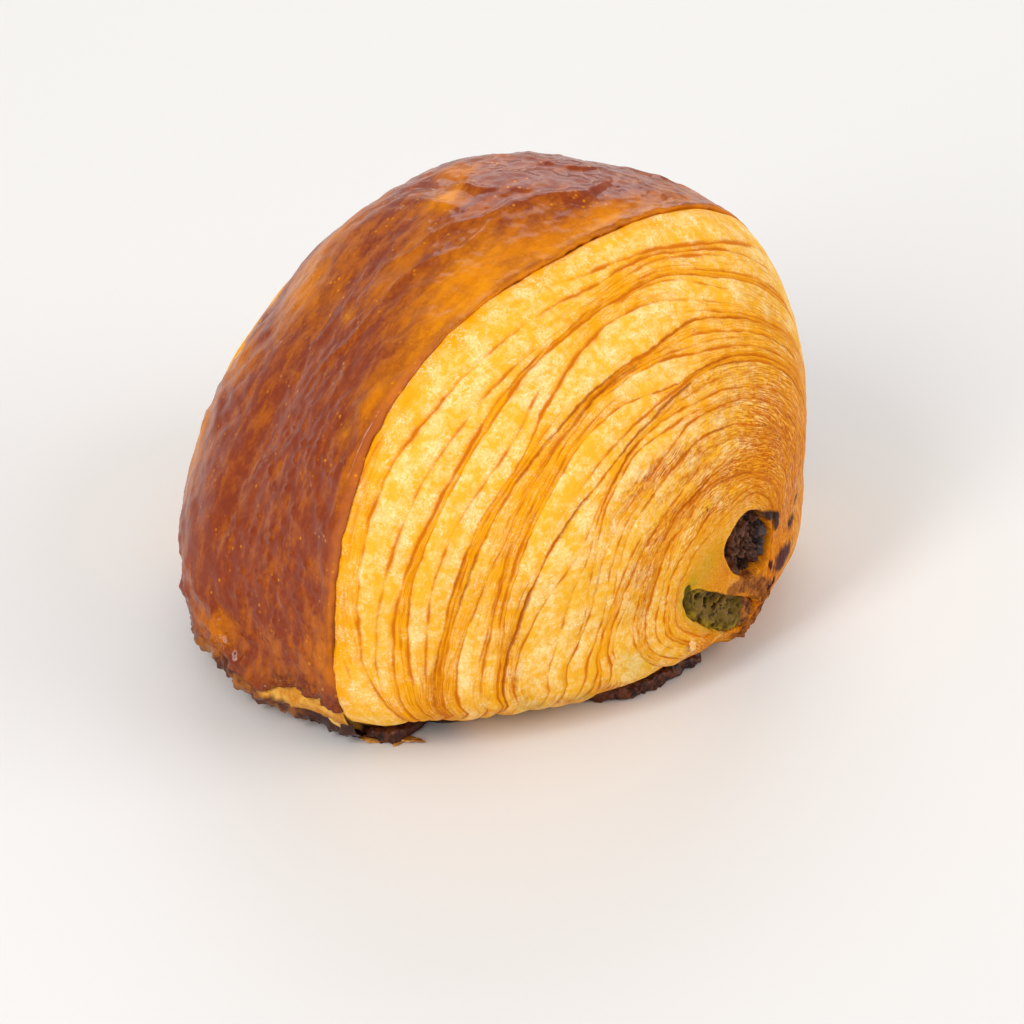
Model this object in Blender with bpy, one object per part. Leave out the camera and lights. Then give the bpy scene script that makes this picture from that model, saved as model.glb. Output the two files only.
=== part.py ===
"""Matcha pain au chocolat: a rolled laminated pastry whose two cut ends bulge and show their layers.

The roll's axis runs along Y and its width along X. It stands on z = 0, and the origin is the middle
of its base. Sizes are in millimetres and angles in radians until a mesh is made, in metres.
An angle round the roll is 0 at +X, a quarter turn at the top, a half turn at -X.
A place along the roll is 0 at the near eye, 1 and 2 at the two edges of the crust, 3 at the far eye.
"""

from collections import namedtuple

import bpy
import numpy as np

MM = 0.001
GAP = 0.3

# The roll across its axis, at the near and the far edge of the crust.
Section = namedtuple("Section", "half_width height widest_z upper_power lower_power lean shift")
NEAR_SECTION = Section(54.0, 70.2, 20.2, upper_power=2.73, lower_power=8.3, lean=1.2, shift=0.0)
FAR_SECTION = Section(54.2, 71.6, 17.0, upper_power=1.72, lower_power=5.7, lean=8.8, shift=2.7)
EYE_X, EYE_Z = 6.4, 20.6

# The bulge of each cut end beyond the edge of the crust.
Dome = namedtuple("Dome", "depth nose side_power side_root top_power top_root")
NEAR_DOME = Dome(33.1, 0.0, 1.80, 1.49, top_power=2.70, top_root=1.09)
FAR_DOME = Dome(33.0, 7.0, 2.67, 1.47, top_power=2.28, top_root=1.31)
NOSE_SHARE, NOSE_POWER = 0.74, 1.3
# The lower part of an end curves in under the roll. These are the sines and cosines it runs between.
FOOT_FULL = 0.833
TUCK_FROM, TUCK_TO = -0.6, 0.3
FOOT_POWER, FOOT_TUCK_LEFT, FOOT_TUCK_RIGHT = 2.49, 2.78, 2.20
ROUND_FOOT_POWER, ROUND_FOOT_SPAN = 4.2, 0.17
UNDERCUT, UNDERCUT_FULL_Z, UNDERCUT_END_Z = 2.6, 2.5, 9.5
UNDERCUT_X, UNDERCUT_SPREAD, UNDERCUT_PLACE = -4.0, 13.0, 0.75
SHOULDER, SHOULDER_ANGLE, SHOULDER_SPREAD = 0.9, np.radians(38), np.radians(20)

# The crust between the two ends.
CRUST_WIDTH = 28.4
CROWN_TOP, CROWN_LEFT, CROWN_RIGHT = 2.6, 0.4, 3.0
CROWN_FADE = 0.333
EDGE_TILT = 1.1
FOLD_HEIGHT, FOLD_COUNT = 0.45, 2
FOLD_DRIFT, FOLD_CHANGE, FOLD_FROM, FOLD_FULL = 0.5, 0.4, 0.1, 0.3
DRIFT_SEED, FOLD_SEED = 71, 72
LIP_HEIGHT, LIP_SHARE = 0.5, 0.06
FAR_CRUST_SHARE = 0.68
LENGTH = NEAR_DOME.depth + CRUST_WIDTH + FAR_DOME.depth + FAR_DOME.nose
MIDDLE_X, MIDDLE_Y = 1.74, -0.25
SETTLE = 0.4

# The foot of the crust ends in a rim, and the dough below it is set back.
FOOT_RIM_Z, FOOT_RIM_FADE, FOOT_INSET = 5.5, 1.6, 1.4
RIM_BLEND = 0.03
# On the left the foot is drawn in at the near corner and spreads towards the far one.
CORNER_PULL, CORNER_PLACE, CORNER_SPREAD = 3.0, 0.95, 0.25
HEEL_FLARE, HEEL_PLACE, HEEL_SPREAD = 4.0, 1.65, 0.35
FOOT_FREE_Z, FOOT_HELD_Z = 2.0, 14.0
SHIFT_FROM_X, SHIFT_FULL_X = 10.0, 40.0

# The layers in a cut end, from the crust inwards. Widths are shares of the way from crust to eye.
Layers = namedtuple("Layers", "edge count width narrowing seed")
NEAR_LAYERS = Layers(edge=1.0, count=13, width=0.078, narrowing=0.0011, seed=100)
FAR_LAYERS = Layers(edge=FAR_CRUST_SHARE, count=9, width=0.074, narrowing=0.0013, seed=200)
ROWS_IN_LAYER = 3
GROOVE_DEPTH, LAYER_BULGE, HUMP_POWER = 0.55, 0.15, 0.7
DEPTH_MEAN, DEPTH_CHANGE, CHANGE_TURN = 0.75, 0.35, 2.4
EDGE_STEP, STEP_FROM_LAYER, STEP_TO_LAYER = 0.7, 0.3, 2.2
EYE_ROWS = 3
EYE_DENT, EYE_RADIUS = 1.6, 0.26
CRUST_ROWS = 17

# The bend that all layers share, as a share of the distance from the eye to the crust.
BEND, BEND_WAVES, BEND_TURN = 0.042, 4, np.radians(82)
BEND_MIDDLE, BEND_SPREAD = 0.52, 0.17
SAG, SAG_FROM, SAG_TO = 0.13, np.radians(72), np.radians(30)
LAYER_WOBBLE = 0.20

# The chocolate baton and the matcha paste run through the roll, side by side at its eye.
BATON_X, BATON_Z, BATON_TURN = 11.6, 24.1, np.radians(-54)
BATON_WIDTH, BATON_HEIGHT, BATON_CORNER = 12.4, 9.2, 2.8
BATON_ENDS = (-48.4, 47.6)
MATCHA_X, MATCHA_Z, MATCHA_TURN = 5.8, 14.9, np.radians(-36)
MATCHA_WIDTH, MATCHA_HEIGHT, MATCHA_CORNER = 19.0, 7.2, 2.3
MATCHA_ENDS = (-48.0, 47.2)
BATON_SEED, MATCHA_SEED = 11, 12
FILLING_SIDES, FILLING_STATIONS = 20, 9
SWELL, SWELL_TURN = 0.05, 5.0
CRUMBLE, END_BULGE, END_TAPER, TUNNEL_OVERRUN = 0.35, 0.5, 0.55, 8.0

# The chocolate that ran out and baked on under the base.
BASE_THICKNESS = 2.4
BASE_EDGE_ROUND = 0.6
BASE_HALF_X, BASE_HALF_Y, BASE_POWER = 47.6, 39.0, 2.5
BASE_MIDDLE_Y = -3.5
BASE_WOBBLE, BASE_SEED = 0.012, 31
# Its edge stays back under the dough along the near left side, and runs out near the eye.
BITE_DEPTH, BITE_START, BITE_END = 0.21, np.radians((204, 211)), np.radians((236, 262))
TONGUE_REACH, TONGUE_ANGLE, TONGUE_SPREAD = 0.03, np.radians(281), np.radians(14)
BASE_SIDES = 112

DOUGH_COLOR = (0.50, 0.22, 0.045)
CHOCOLATE_COLOR = (0.035, 0.014, 0.008)
MATCHA_COLOR = (0.115, 0.095, 0.022)
BAKED_CHOCOLATE_COLOR = (0.045, 0.017, 0.008)


def ramp(value, start, end):
    """0 before start, 1 beyond end, and smooth between them."""
    share = np.clip((value - start) / (end - start), 0, 1)
    return share * share * (3 - 2 * share)


def waves(seed, angle, counts, fade=1.0):
    """A closed wavy line round the roll, about 1 high, made of whole numbers of waves."""
    draw = np.random.default_rng(seed)
    total = np.zeros_like(angle)
    for count in counts:
        strength = draw.uniform(0.6, 1.0) / count**fade
        total = total + strength * np.cos(count * angle + draw.uniform(0, 2 * np.pi))
    return total / sum(1 / count**fade for count in counts) * 1.6


def section_outline(section, angle, foot_power=None):
    """The roll's outline across its axis: a high superellipse above the widest line, a flat one below."""
    across, up = np.cos(angle), np.sin(angle)
    above = up > 0
    lower_power = section.lower_power if foot_power is None else foot_power
    power = np.where(above, section.upper_power, lower_power)
    rise = np.where(above, section.height - section.widest_z, section.widest_z)
    reach = (np.abs(across / section.half_width) ** power + np.abs(up / rise) ** power) ** (-1 / power)
    z = section.widest_z + reach * up
    climb = np.clip((z - section.widest_z) / (section.height - section.widest_z), 0, 1)
    return reach * across + section.lean * climb, z


def dome_point(section, dome, share, angle):
    """A point of a cut end: share is 0 at the eye and 1 at the crust. Gives x, the bulge and z."""
    rounding = ramp(1 - share, 0, ROUND_FOOT_SPAN)
    foot_power = section.lower_power + (ROUND_FOOT_POWER - section.lower_power) * rounding
    edge_x, edge_z = section_outline(section, angle, foot_power)
    shoulder = SHOULDER * np.exp(-(((angle - SHOULDER_ANGLE) / SHOULDER_SPREAD) ** 2))
    edge_x = edge_x + shoulder * np.cos(SHOULDER_ANGLE)
    edge_z = edge_z + shoulder * np.sin(SHOULDER_ANGLE)
    low = ramp(-np.sin(angle), 0, FOOT_FULL)
    top = np.clip(np.sin(angle), 0, 1)
    to_right = ramp(np.cos(angle), TUCK_FROM, TUCK_TO)
    tuck = FOOT_TUCK_LEFT + (FOOT_TUCK_RIGHT - FOOT_TUCK_LEFT) * to_right
    drop = share * (1 - low) + (1 - (1 - share) ** tuck) * low
    x = EYE_X + share * (edge_x - EYE_X) + section.shift
    z = EYE_Z + drop * (edge_z - EYE_Z)
    power = dome.side_power + (dome.top_power - dome.side_power) * top
    power = power + (FOOT_POWER - power) * low
    root = dome.side_root + (dome.top_root - dome.side_root) * top
    bulge = np.clip(1 - share**power, 0, 1) ** (1 / root)
    return x, bulge, z


def near_end(share, angle):
    x, bulge, z = dome_point(NEAR_SECTION, NEAR_DOME, share, angle)
    edge_z = section_outline(NEAR_SECTION, angle)[1]
    y = NEAR_DOME.depth - LENGTH / 2 - NEAR_DOME.depth * bulge
    y = y - EDGE_TILT * (1 - bulge) * edge_z / NEAR_SECTION.height
    return np.stack([x, y, z], -1)


def far_end(share, angle):
    x, bulge, z = dome_point(FAR_SECTION, FAR_DOME, share, angle)
    nose = FAR_DOME.nose * (1 - np.clip(share / NOSE_SHARE, 0, 1) ** 2) ** NOSE_POWER
    y = LENGTH / 2 - FAR_DOME.nose - FAR_DOME.depth * (1 - bulge) + nose
    return np.stack([x, y, z], -1)


def crust(across, angle):
    """A point of the crust: across is 0 at its near edge and 1 at its far edge."""
    edge = np.ones_like(angle)
    share = across[..., None]
    point = near_end(edge, angle) * (1 - share) + far_end(edge, angle) * share
    up, side = np.clip(np.sin(angle), 0, 1), np.cos(angle)
    crown_side = CROWN_LEFT * np.clip(-side, 0, 1) + CROWN_RIGHT * np.clip(side, 0, 1)
    crown = CROWN_TOP * up + crown_side * (1 - up)
    above_foot = np.clip((np.sin(angle) + CROWN_FADE) / (2 * CROWN_FADE), 0, 1)
    crown = crown * above_foot * 4 * across * (1 - across)
    return point + np.stack([side * crown, np.zeros_like(crown), up * crown], -1)


def foot_shift(place, point):
    """How far to the right the left foot moves: in at the near corner, and out at the heel."""
    pull = CORNER_PULL * np.exp(-(((place - CORNER_PLACE) / CORNER_SPREAD) ** 2))
    flare = HEEL_FLARE * np.exp(-(((place - HEEL_PLACE) / HEEL_SPREAD) ** 2))
    low = 1 - ramp(point[..., 2], FOOT_FREE_Z, FOOT_HELD_Z)
    return (pull - flare) * low * ramp(-point[..., 0], SHIFT_FROM_X, SHIFT_FULL_X)


def undercut(place, point):
    """How far the near end's low edge stands back over the chocolate at its base."""
    low = 1 - ramp(point[..., 2], UNDERCUT_FULL_Z, UNDERCUT_END_Z)
    middle = np.exp(-(((point[..., 0] - UNDERCUT_X) / UNDERCUT_SPREAD) ** 4))
    return UNDERCUT * low * middle * (1 - ramp(place, UNDERCUT_PLACE, 1))


def roll_point(place, angle):
    """The smooth roll, before any relief, for a place from 0 to 3 along it."""
    point = crust(np.clip(place - 1, 0, 1), angle)
    near = near_end(np.clip(place, 0, 1), angle)
    far = far_end(np.clip(3 - place, 0, 1), angle)
    point = np.where((place < 1)[..., None], near, point)
    point = np.where((place > 2)[..., None], far, point)
    point[..., 0] += foot_shift(place, point)
    point[..., 1] += undercut(place, point)
    return point


def outward(place, angle, step=1e-3):
    """Unit normals of the smooth roll."""
    inner = np.clip(place, 2 * step, 3 - 2 * step)
    along = roll_point(inner + step, angle) - roll_point(inner - step, angle)
    around = roll_point(inner, angle + step) - roll_point(inner, angle - step)
    normal = np.cross(along, around)
    return normal / np.maximum(np.linalg.norm(normal, axis=-1, keepdims=True), 1e-12)


def layer_share(layers, layer, angle):
    """How far from the eye, 0 to 1, a layer's line lies. Layer 0 is the edge of the crust."""
    straight = layers.edge - layers.width * layer + layers.narrowing * layer**2
    bend = BEND * np.exp(-(((straight - BEND_MIDDLE) / BEND_SPREAD) ** 2))
    share = straight + bend * np.cos(BEND_WAVES * (angle - BEND_TURN))
    right_side = ramp(np.cos(angle - SAG_TO), np.cos(SAG_FROM - SAG_TO), 1)
    share = share - SAG * straight * right_side * ramp(layer, 0, 1)
    lower = np.floor(layer).astype(int)
    part = layer - lower
    wobble = np.zeros_like(share)
    for line in range(1, layers.count + 1):
        weight = np.where(lower == line, 1 - part, np.where(lower + 1 == line, part, 0))
        wobble = wobble + weight * waves(layers.seed + line, angle, (2, 3, 5), 0.5)
    return np.clip(share + wobble * LAYER_WOBBLE * layers.width, 0, 1)


def end_relief(layers, layer, angle):
    """Height of a cut end over the smooth roll: grooves on the lines, and layers that bulge between them."""
    part = layer - np.floor(layer)
    hump = np.sin(np.pi * part) ** HUMP_POWER
    unevenness = waves(layers.seed, angle + CHANGE_TURN * np.floor(layer), (1, 2, 3), 0.5)
    depth = GROOVE_DEPTH * (DEPTH_MEAN + DEPTH_CHANGE * unevenness)
    step = EDGE_STEP * (1 - ramp(layer, STEP_FROM_LAYER, STEP_TO_LAYER))
    return LAYER_BULGE * hump - depth * (1 - hump) - step


def crust_relief(across, angle):
    """Height of the crust over the smooth roll: a lip at both edges and long soft folds between them."""
    to_edge = np.minimum(across, 1 - across)
    lip = LIP_HEIGHT * np.exp(-(((to_edge - LIP_SHARE) / LIP_SHARE) ** 2))
    drift = FOLD_DRIFT * waves(DRIFT_SEED, angle, (1, 2, 3))
    strength = 1 - FOLD_CHANGE + FOLD_CHANGE * waves(FOLD_SEED, angle, (1, 2, 4))
    fold = strength * np.sin(2 * np.pi * (FOLD_COUNT * across + drift))
    return lip + FOLD_HEIGHT * fold * ramp(to_edge, FOLD_FROM, FOLD_FULL)


def ring_angles():
    """The columns of the roll: close over the crust and round the feet, wide under the flat base."""
    arcs = ((-15, 195, 38), (195, 219, 5), (219, 321, 6), (321, 345, 5))
    degrees = [np.linspace(start, end, count, endpoint=False) for start, end, count in arcs]
    return np.radians(np.concatenate(degrees))


def end_rows(layers, angle):
    """Rows of one cut end, from the crust's edge to the eye: the share from the eye, and the relief."""
    rows = []
    for row in range(layers.count * ROWS_IN_LAYER + 1):
        layer = np.full_like(angle, row / ROWS_IN_LAYER)
        rows.append((layer_share(layers, layer, angle), end_relief(layers, layer, angle)))
    last_share, last_height = rows[-1]
    for row in range(1, EYE_ROWS):
        inward = 1 - row / EYE_ROWS
        rows.append((last_share * inward, last_height * inward))
    return rows


def roll_rows():
    """Every row of the roll as points, from the near eye to the far eye."""
    angle = ring_angles()
    near = end_rows(NEAR_LAYERS, angle)[::-1]
    middle = []
    for row in range(1, CRUST_ROWS):
        across = np.full_like(angle, 0.5 - 0.5 * np.cos(np.pi * row / CRUST_ROWS))
        middle.append((1 + across * (2 - FAR_CRUST_SHARE), crust_relief(across, angle)))
    far = [(3 - share, height) for share, height in end_rows(FAR_LAYERS, angle)]
    far_edge = 3 - FAR_CRUST_SHARE
    rows = []
    for place, height in near + middle + far:
        point = roll_point(place, angle)
        beyond_crust = ramp(place, far_edge, far_edge + RIM_BLEND)
        on_crust = ramp(place, 1 - RIM_BLEND, 1) * (1 - beyond_crust)
        below_rim = 1 - ramp(point[:, 2], FOOT_RIM_Z - FOOT_RIM_FADE, FOOT_RIM_Z)
        height = height - FOOT_INSET * below_rim * on_crust
        dent = EYE_DENT * (1 - ramp(np.minimum(place, 3 - place), 0, EYE_RADIUS))
        point = point + outward(place, angle) * (height - dent)[:, None]
        point[:, 2] = np.maximum(point[:, 2] - SETTLE, 0)
        rows.append(point)
    return rows


def mesh_object(name, rows, start_tip, end_tip):
    """A closed body: rings of points joined by quads, each end closed by a fan round its tip."""
    count = len(rows[0])
    points = np.concatenate(rows + [np.array([start_tip, end_tip])])
    points = (points - (MIDDLE_X, MIDDLE_Y, 0)) * MM
    start, end = len(points) - 2, len(points) - 1
    faces = []
    for row in range(len(rows) - 1):
        for column in range(count):
            after = (column + 1) % count
            first, second = row * count, (row + 1) * count
            faces.append((first + column, second + column, second + after, first + after))
    last = (len(rows) - 1) * count
    for column in range(count):
        after = (column + 1) % count
        faces.append((start, column, after))
        faces.append((end, last + after, last + column))
    mesh = bpy.data.meshes.new(name)
    mesh.from_pydata(points.tolist(), [], faces)
    mesh.validate()
    mesh.shade_smooth()
    mesh.set_sharp_from_angle(angle=np.radians(50))
    body = bpy.data.objects.new(name, mesh)
    bpy.context.scene.collection.objects.link(body)
    return body


def rounded_bar(width, height, corner, turn, angle):
    """The outline of a bar with round corners, as points round its middle."""
    across, up = np.cos(angle), np.sin(angle)
    reach = (np.abs(2 * across / width) ** corner + np.abs(2 * up / height) ** corner) ** (-1 / corner)
    x, z = reach * across, reach * up
    return x * np.cos(turn) - z * np.sin(turn), x * np.sin(turn) + z * np.cos(turn)


def filling(name, middle, size, turn, ends, seed, extra=0.0):
    """A filling that runs through the roll or, with extra, the cutter of its tunnel."""
    angle = np.linspace(0, 2 * np.pi, FILLING_SIDES, endpoint=False)
    width, height, corner = size
    rows = []
    for station in range(FILLING_STATIONS):
        share = station / (FILLING_STATIONS - 1)
        swell = 1 + SWELL * waves(seed, angle + SWELL_TURN * share, (2, 3, 4), 0.5)
        x, z = rounded_bar(width + 2 * extra, height + 2 * extra, corner, turn, angle)
        y = np.full_like(x, ends[0] + share * (ends[1] - ends[0]))
        if share in (0, 1) and not extra:
            y += CRUMBLE * waves(seed + station, angle, (3, 5))
        rows.append(np.stack([middle[0] + x * swell, y, middle[1] + z * swell], -1))
    for end, outward_step in ((0, -1), (-1, 1)):
        centre = rows[end].mean(0)
        if extra:
            over = rows[end] + (0, outward_step * TUNNEL_OVERRUN, 0)
        else:
            over = (rows[end] - centre) * (END_TAPER, 1, END_TAPER) + centre
            over[:, 1] += outward_step * END_BULGE
        rows.insert(0 if end == 0 else len(rows), over)
    tips = [rows[0].mean(0), rows[-1].mean(0)]
    return mesh_object(name, rows, *tips)


def base_outline(angle):
    """The edge of the chocolate under the base, from above: an oblong with a bite and a tongue."""
    across, along = np.cos(angle), np.sin(angle)
    reach = np.abs(across / BASE_HALF_X) ** BASE_POWER + np.abs(along / BASE_HALF_Y) ** BASE_POWER
    wobble = BASE_WOBBLE * waves(BASE_SEED, angle, (3, 5, 8, 13), 0.4)
    reach = reach ** (-1 / BASE_POWER) * (1 + wobble)
    bite = BITE_DEPTH * ramp(angle, *BITE_START) * (1 - ramp(angle, *BITE_END))
    tongue = TONGUE_REACH * np.exp(-(((angle - TONGUE_ANGLE) / TONGUE_SPREAD) ** 2))
    reach = reach * (1 - bite + tongue)
    return reach * across, reach * along + BASE_MIDDLE_Y


def base_chocolate(name, extra=0.0):
    """The thin layer under the base. With extra, the cutter of the recess that it lies in."""
    angle = np.linspace(0, 2 * np.pi, BASE_SIDES, endpoint=False)
    x, y = base_outline(angle)
    length = np.hypot(x, y - BASE_MIDDLE_Y)
    top = BASE_THICKNESS + extra
    bottom = -3 * extra
    inset = BASE_EDGE_ROUND
    rows = []
    for back, z in ((inset, top), (0, top - inset), (0, bottom + inset), (inset, bottom)):
        share = (length + extra - back) / length
        ring_y = BASE_MIDDLE_Y + (y - BASE_MIDDLE_Y) * share
        rows.append(np.stack([x * share, ring_y, np.full_like(x, z)], -1))
    return mesh_object(name, rows, (0, BASE_MIDDLE_Y, top), (0, BASE_MIDDLE_Y, bottom))


def material(name, color, roughness, coat=0.0):
    made = bpy.data.materials.new(name)
    made.use_nodes = True
    shader = made.node_tree.nodes["Principled BSDF"]
    shader.inputs["Base Color"].default_value = (*color, 1)
    shader.inputs["Roughness"].default_value = roughness
    shader.inputs["Metallic"].default_value = 0.0
    shader.inputs["Coat Weight"].default_value = coat
    made.diffuse_color = (*color, 1)
    return made


def cut(body, cutter):
    """Cuts a tunnel or a recess. The cutter stays in the file as a wire guide."""
    cutter.hide_render = True
    cutter.display_type = "WIRE"
    boolean = body.modifiers.new(cutter.name, "BOOLEAN")
    boolean.operation = "DIFFERENCE"
    boolean.solver = "EXACT"
    boolean.object = cutter


def clear_scene():
    for item in list(bpy.data.objects):
        bpy.data.objects.remove(item, do_unlink=True)


def build():
    clear_scene()
    rows = roll_rows()
    pastry = mesh_object("pastry", rows, rows[0].mean(0), rows[-1].mean(0))
    pastry.data.materials.append(material("baked_dough", DOUGH_COLOR, 0.5, 0.2))

    baton_size = (BATON_WIDTH, BATON_HEIGHT, BATON_CORNER)
    baton_place = ((BATON_X, BATON_Z), baton_size, BATON_TURN, BATON_ENDS, BATON_SEED)
    matcha_size = (MATCHA_WIDTH, MATCHA_HEIGHT, MATCHA_CORNER)
    matcha_place = ((MATCHA_X, MATCHA_Z), matcha_size, MATCHA_TURN, MATCHA_ENDS, MATCHA_SEED)
    baton = filling("chocolate_baton", *baton_place)
    baton.data.materials.append(material("dark_chocolate", CHOCOLATE_COLOR, 0.55))
    matcha = filling("matcha_filling", *matcha_place)
    matcha.data.materials.append(material("matcha_paste", MATCHA_COLOR, 0.7))
    base = base_chocolate("base_chocolate")
    base.data.materials.append(material("baked_chocolate", BAKED_CHOCOLATE_COLOR, 0.45))

    for name, place in (("baton_tunnel", baton_place), ("matcha_tunnel", matcha_place)):
        cut(pastry, filling(name, *place, extra=GAP))
    cut(pastry, base_chocolate("base_recess", GAP))


build()
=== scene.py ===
"""The looks of a matcha pain au chocolat: its layers, crust, fillings and baked-on chocolate.

Sizes are in millimetres and angles in radians until a mesh is made, in metres. The roll's axis runs
along Y and its width along X. A place along the roll is 0 at the near eye, 1 and 2 at the two edges
of the crust and 3 at the far eye. An angle round the roll is 0 at +X, a quarter turn at the top and
a half turn at -X. A share is 0 at an eye and 1 at the edge of the crust.
"""

from collections import namedtuple

import bpy
import numpy as np
from mathutils import Matrix, Vector, noise


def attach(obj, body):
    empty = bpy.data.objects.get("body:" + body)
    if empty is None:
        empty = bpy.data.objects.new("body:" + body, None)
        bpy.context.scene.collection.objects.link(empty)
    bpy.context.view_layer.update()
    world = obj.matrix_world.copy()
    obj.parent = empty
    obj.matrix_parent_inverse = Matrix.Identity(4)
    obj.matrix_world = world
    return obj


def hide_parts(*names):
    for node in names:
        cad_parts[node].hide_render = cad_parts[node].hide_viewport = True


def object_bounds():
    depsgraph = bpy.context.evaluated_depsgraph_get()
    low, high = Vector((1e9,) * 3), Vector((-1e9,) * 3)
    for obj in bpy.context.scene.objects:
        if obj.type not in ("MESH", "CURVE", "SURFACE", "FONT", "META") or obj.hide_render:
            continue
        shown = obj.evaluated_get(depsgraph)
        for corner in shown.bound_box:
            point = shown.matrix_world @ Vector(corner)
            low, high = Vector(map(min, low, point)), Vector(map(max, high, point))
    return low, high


MM = 0.001
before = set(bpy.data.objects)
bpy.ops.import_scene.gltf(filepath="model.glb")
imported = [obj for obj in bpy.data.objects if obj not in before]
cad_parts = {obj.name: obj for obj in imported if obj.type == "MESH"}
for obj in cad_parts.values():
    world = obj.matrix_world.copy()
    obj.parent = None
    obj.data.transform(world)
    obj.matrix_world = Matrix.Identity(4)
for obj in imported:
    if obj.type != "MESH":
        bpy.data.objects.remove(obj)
CAD_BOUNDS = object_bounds()
scene = bpy.context.scene

# The smooth roll, from the same sizes as its solid.
Section = namedtuple("Section", "half_width height widest_z upper_power lower_power lean shift")
NEAR_SECTION = Section(54.0, 70.2, 20.2, upper_power=2.73, lower_power=8.3, lean=1.2, shift=0.0)
FAR_SECTION = Section(54.2, 71.6, 17.0, upper_power=1.72, lower_power=5.7, lean=8.8, shift=2.7)
EYE_X, EYE_Z = 6.4, 20.6
Dome = namedtuple("Dome", "depth nose side_power side_root top_power top_root")
NEAR_DOME = Dome(33.1, 0.0, 1.80, 1.49, top_power=2.70, top_root=1.09)
FAR_DOME = Dome(33.0, 7.0, 2.67, 1.47, top_power=2.28, top_root=1.31)
NOSE_SHARE, NOSE_POWER = 0.74, 1.3
FOOT_FULL = 0.833
TUCK_FROM, TUCK_TO = -0.6, 0.3
FOOT_POWER, FOOT_TUCK_LEFT, FOOT_TUCK_RIGHT = 2.49, 2.78, 2.20
ROUND_FOOT_POWER, ROUND_FOOT_SPAN = 4.2, 0.17
SHOULDER, SHOULDER_ANGLE, SHOULDER_SPREAD = 0.9, np.radians(38), np.radians(20)
CRUST_WIDTH = 28.4
CROWN_TOP, CROWN_LEFT, CROWN_RIGHT = 2.6, 0.4, 3.0
CROWN_FADE = 0.333
EDGE_TILT = 1.1
FAR_CRUST_SHARE = 0.68
LENGTH = NEAR_DOME.depth + CRUST_WIDTH + FAR_DOME.depth + FAR_DOME.nose
MIDDLE = np.array([1.74, -0.25, 0.4])
CORNER_PULL, CORNER_PLACE, CORNER_SPREAD = 3.0, 0.95, 0.25
HEEL_FLARE, HEEL_PLACE, HEEL_SPREAD = 4.0, 1.65, 0.35
FOOT_FREE_Z, FOOT_HELD_Z = 2.0, 14.0
SHIFT_FROM_X, SHIFT_FULL_X = 10.0, 40.0
EYE_DENT, EYE_RADIUS = 1.6, 0.26
UNDERCUT, UNDERCUT_FULL_Z, UNDERCUT_END_Z = 2.6, 2.5, 9.5
UNDERCUT_X, UNDERCUT_SPREAD, UNDERCUT_PLACE = -4.0, 13.0, 0.75

# The two fillings, as bars with round corners seen from their near end.
Bar = namedtuple("Bar", "x z width height corner turn start end")
BATON = Bar(11.6, 24.1, 12.8, 9.6, 2.8, np.radians(-54), -49.1, 47.6)
MATCHA = Bar(5.6, 14.9, 20.2, 8.3, 2.3, np.radians(-36), -49.2, 47.2)


def ramp(value, start, end):
    """0 before start, 1 beyond end, and smooth between them."""
    share = np.clip((value - start) / (end - start), 0, 1)
    return share * share * (3 - 2 * share)


def waves(seed, angle, counts, fade=1.0):
    """A closed wavy line round the roll, about 1 high, made of whole numbers of waves."""
    draw = np.random.default_rng(seed)
    total = np.zeros_like(angle)
    for count in counts:
        strength = draw.uniform(0.6, 1.0) / count**fade
        total = total + strength * np.cos(count * angle + draw.uniform(0, 2 * np.pi))
    return total / sum(1 / count**fade for count in counts) * 1.6


def bumps(points, size, octaves=2, offset=0.0):
    """Smooth random heights, about -1 to 1, for points in millimetres and bumps of this size."""
    flat = (points.reshape(-1, 3) / size + offset).tolist()
    heights = [noise.fractal(point, 1.0, 2.0, octaves) for point in flat]
    return np.array(heights).reshape(points.shape[:-1])


def section_outline(section, angle, foot_power=None):
    """The roll's outline across its axis."""
    across, up = np.cos(angle), np.sin(angle)
    above = up > 0
    lower_power = section.lower_power if foot_power is None else foot_power
    power = np.where(above, section.upper_power, lower_power)
    rise = np.where(above, section.height - section.widest_z, section.widest_z)
    reach = (np.abs(across / section.half_width) ** power + np.abs(up / rise) ** power) ** (-1 / power)
    z = section.widest_z + reach * up
    climb = np.clip((z - section.widest_z) / (section.height - section.widest_z), 0, 1)
    return reach * across + section.lean * climb, z


def dome_point(section, dome, share, angle):
    """A point of a cut end. Gives x, the bulge and z."""
    rounding = ramp(1 - share, 0, ROUND_FOOT_SPAN)
    foot_power = section.lower_power + (ROUND_FOOT_POWER - section.lower_power) * rounding
    edge_x, edge_z = section_outline(section, angle, foot_power)
    shoulder = SHOULDER * np.exp(-(((angle - SHOULDER_ANGLE) / SHOULDER_SPREAD) ** 2))
    edge_x = edge_x + shoulder * np.cos(SHOULDER_ANGLE)
    edge_z = edge_z + shoulder * np.sin(SHOULDER_ANGLE)
    low = ramp(-np.sin(angle), 0, FOOT_FULL)
    top = np.clip(np.sin(angle), 0, 1)
    to_right = ramp(np.cos(angle), TUCK_FROM, TUCK_TO)
    tuck = FOOT_TUCK_LEFT + (FOOT_TUCK_RIGHT - FOOT_TUCK_LEFT) * to_right
    drop = share * (1 - low) + (1 - (1 - share) ** tuck) * low
    x = EYE_X + share * (edge_x - EYE_X) + section.shift
    z = EYE_Z + drop * (edge_z - EYE_Z)
    power = dome.side_power + (dome.top_power - dome.side_power) * top
    power = power + (FOOT_POWER - power) * low
    root = dome.side_root + (dome.top_root - dome.side_root) * top
    bulge = np.clip(1 - share**power, 0, 1) ** (1 / root)
    return x, bulge, z


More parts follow.
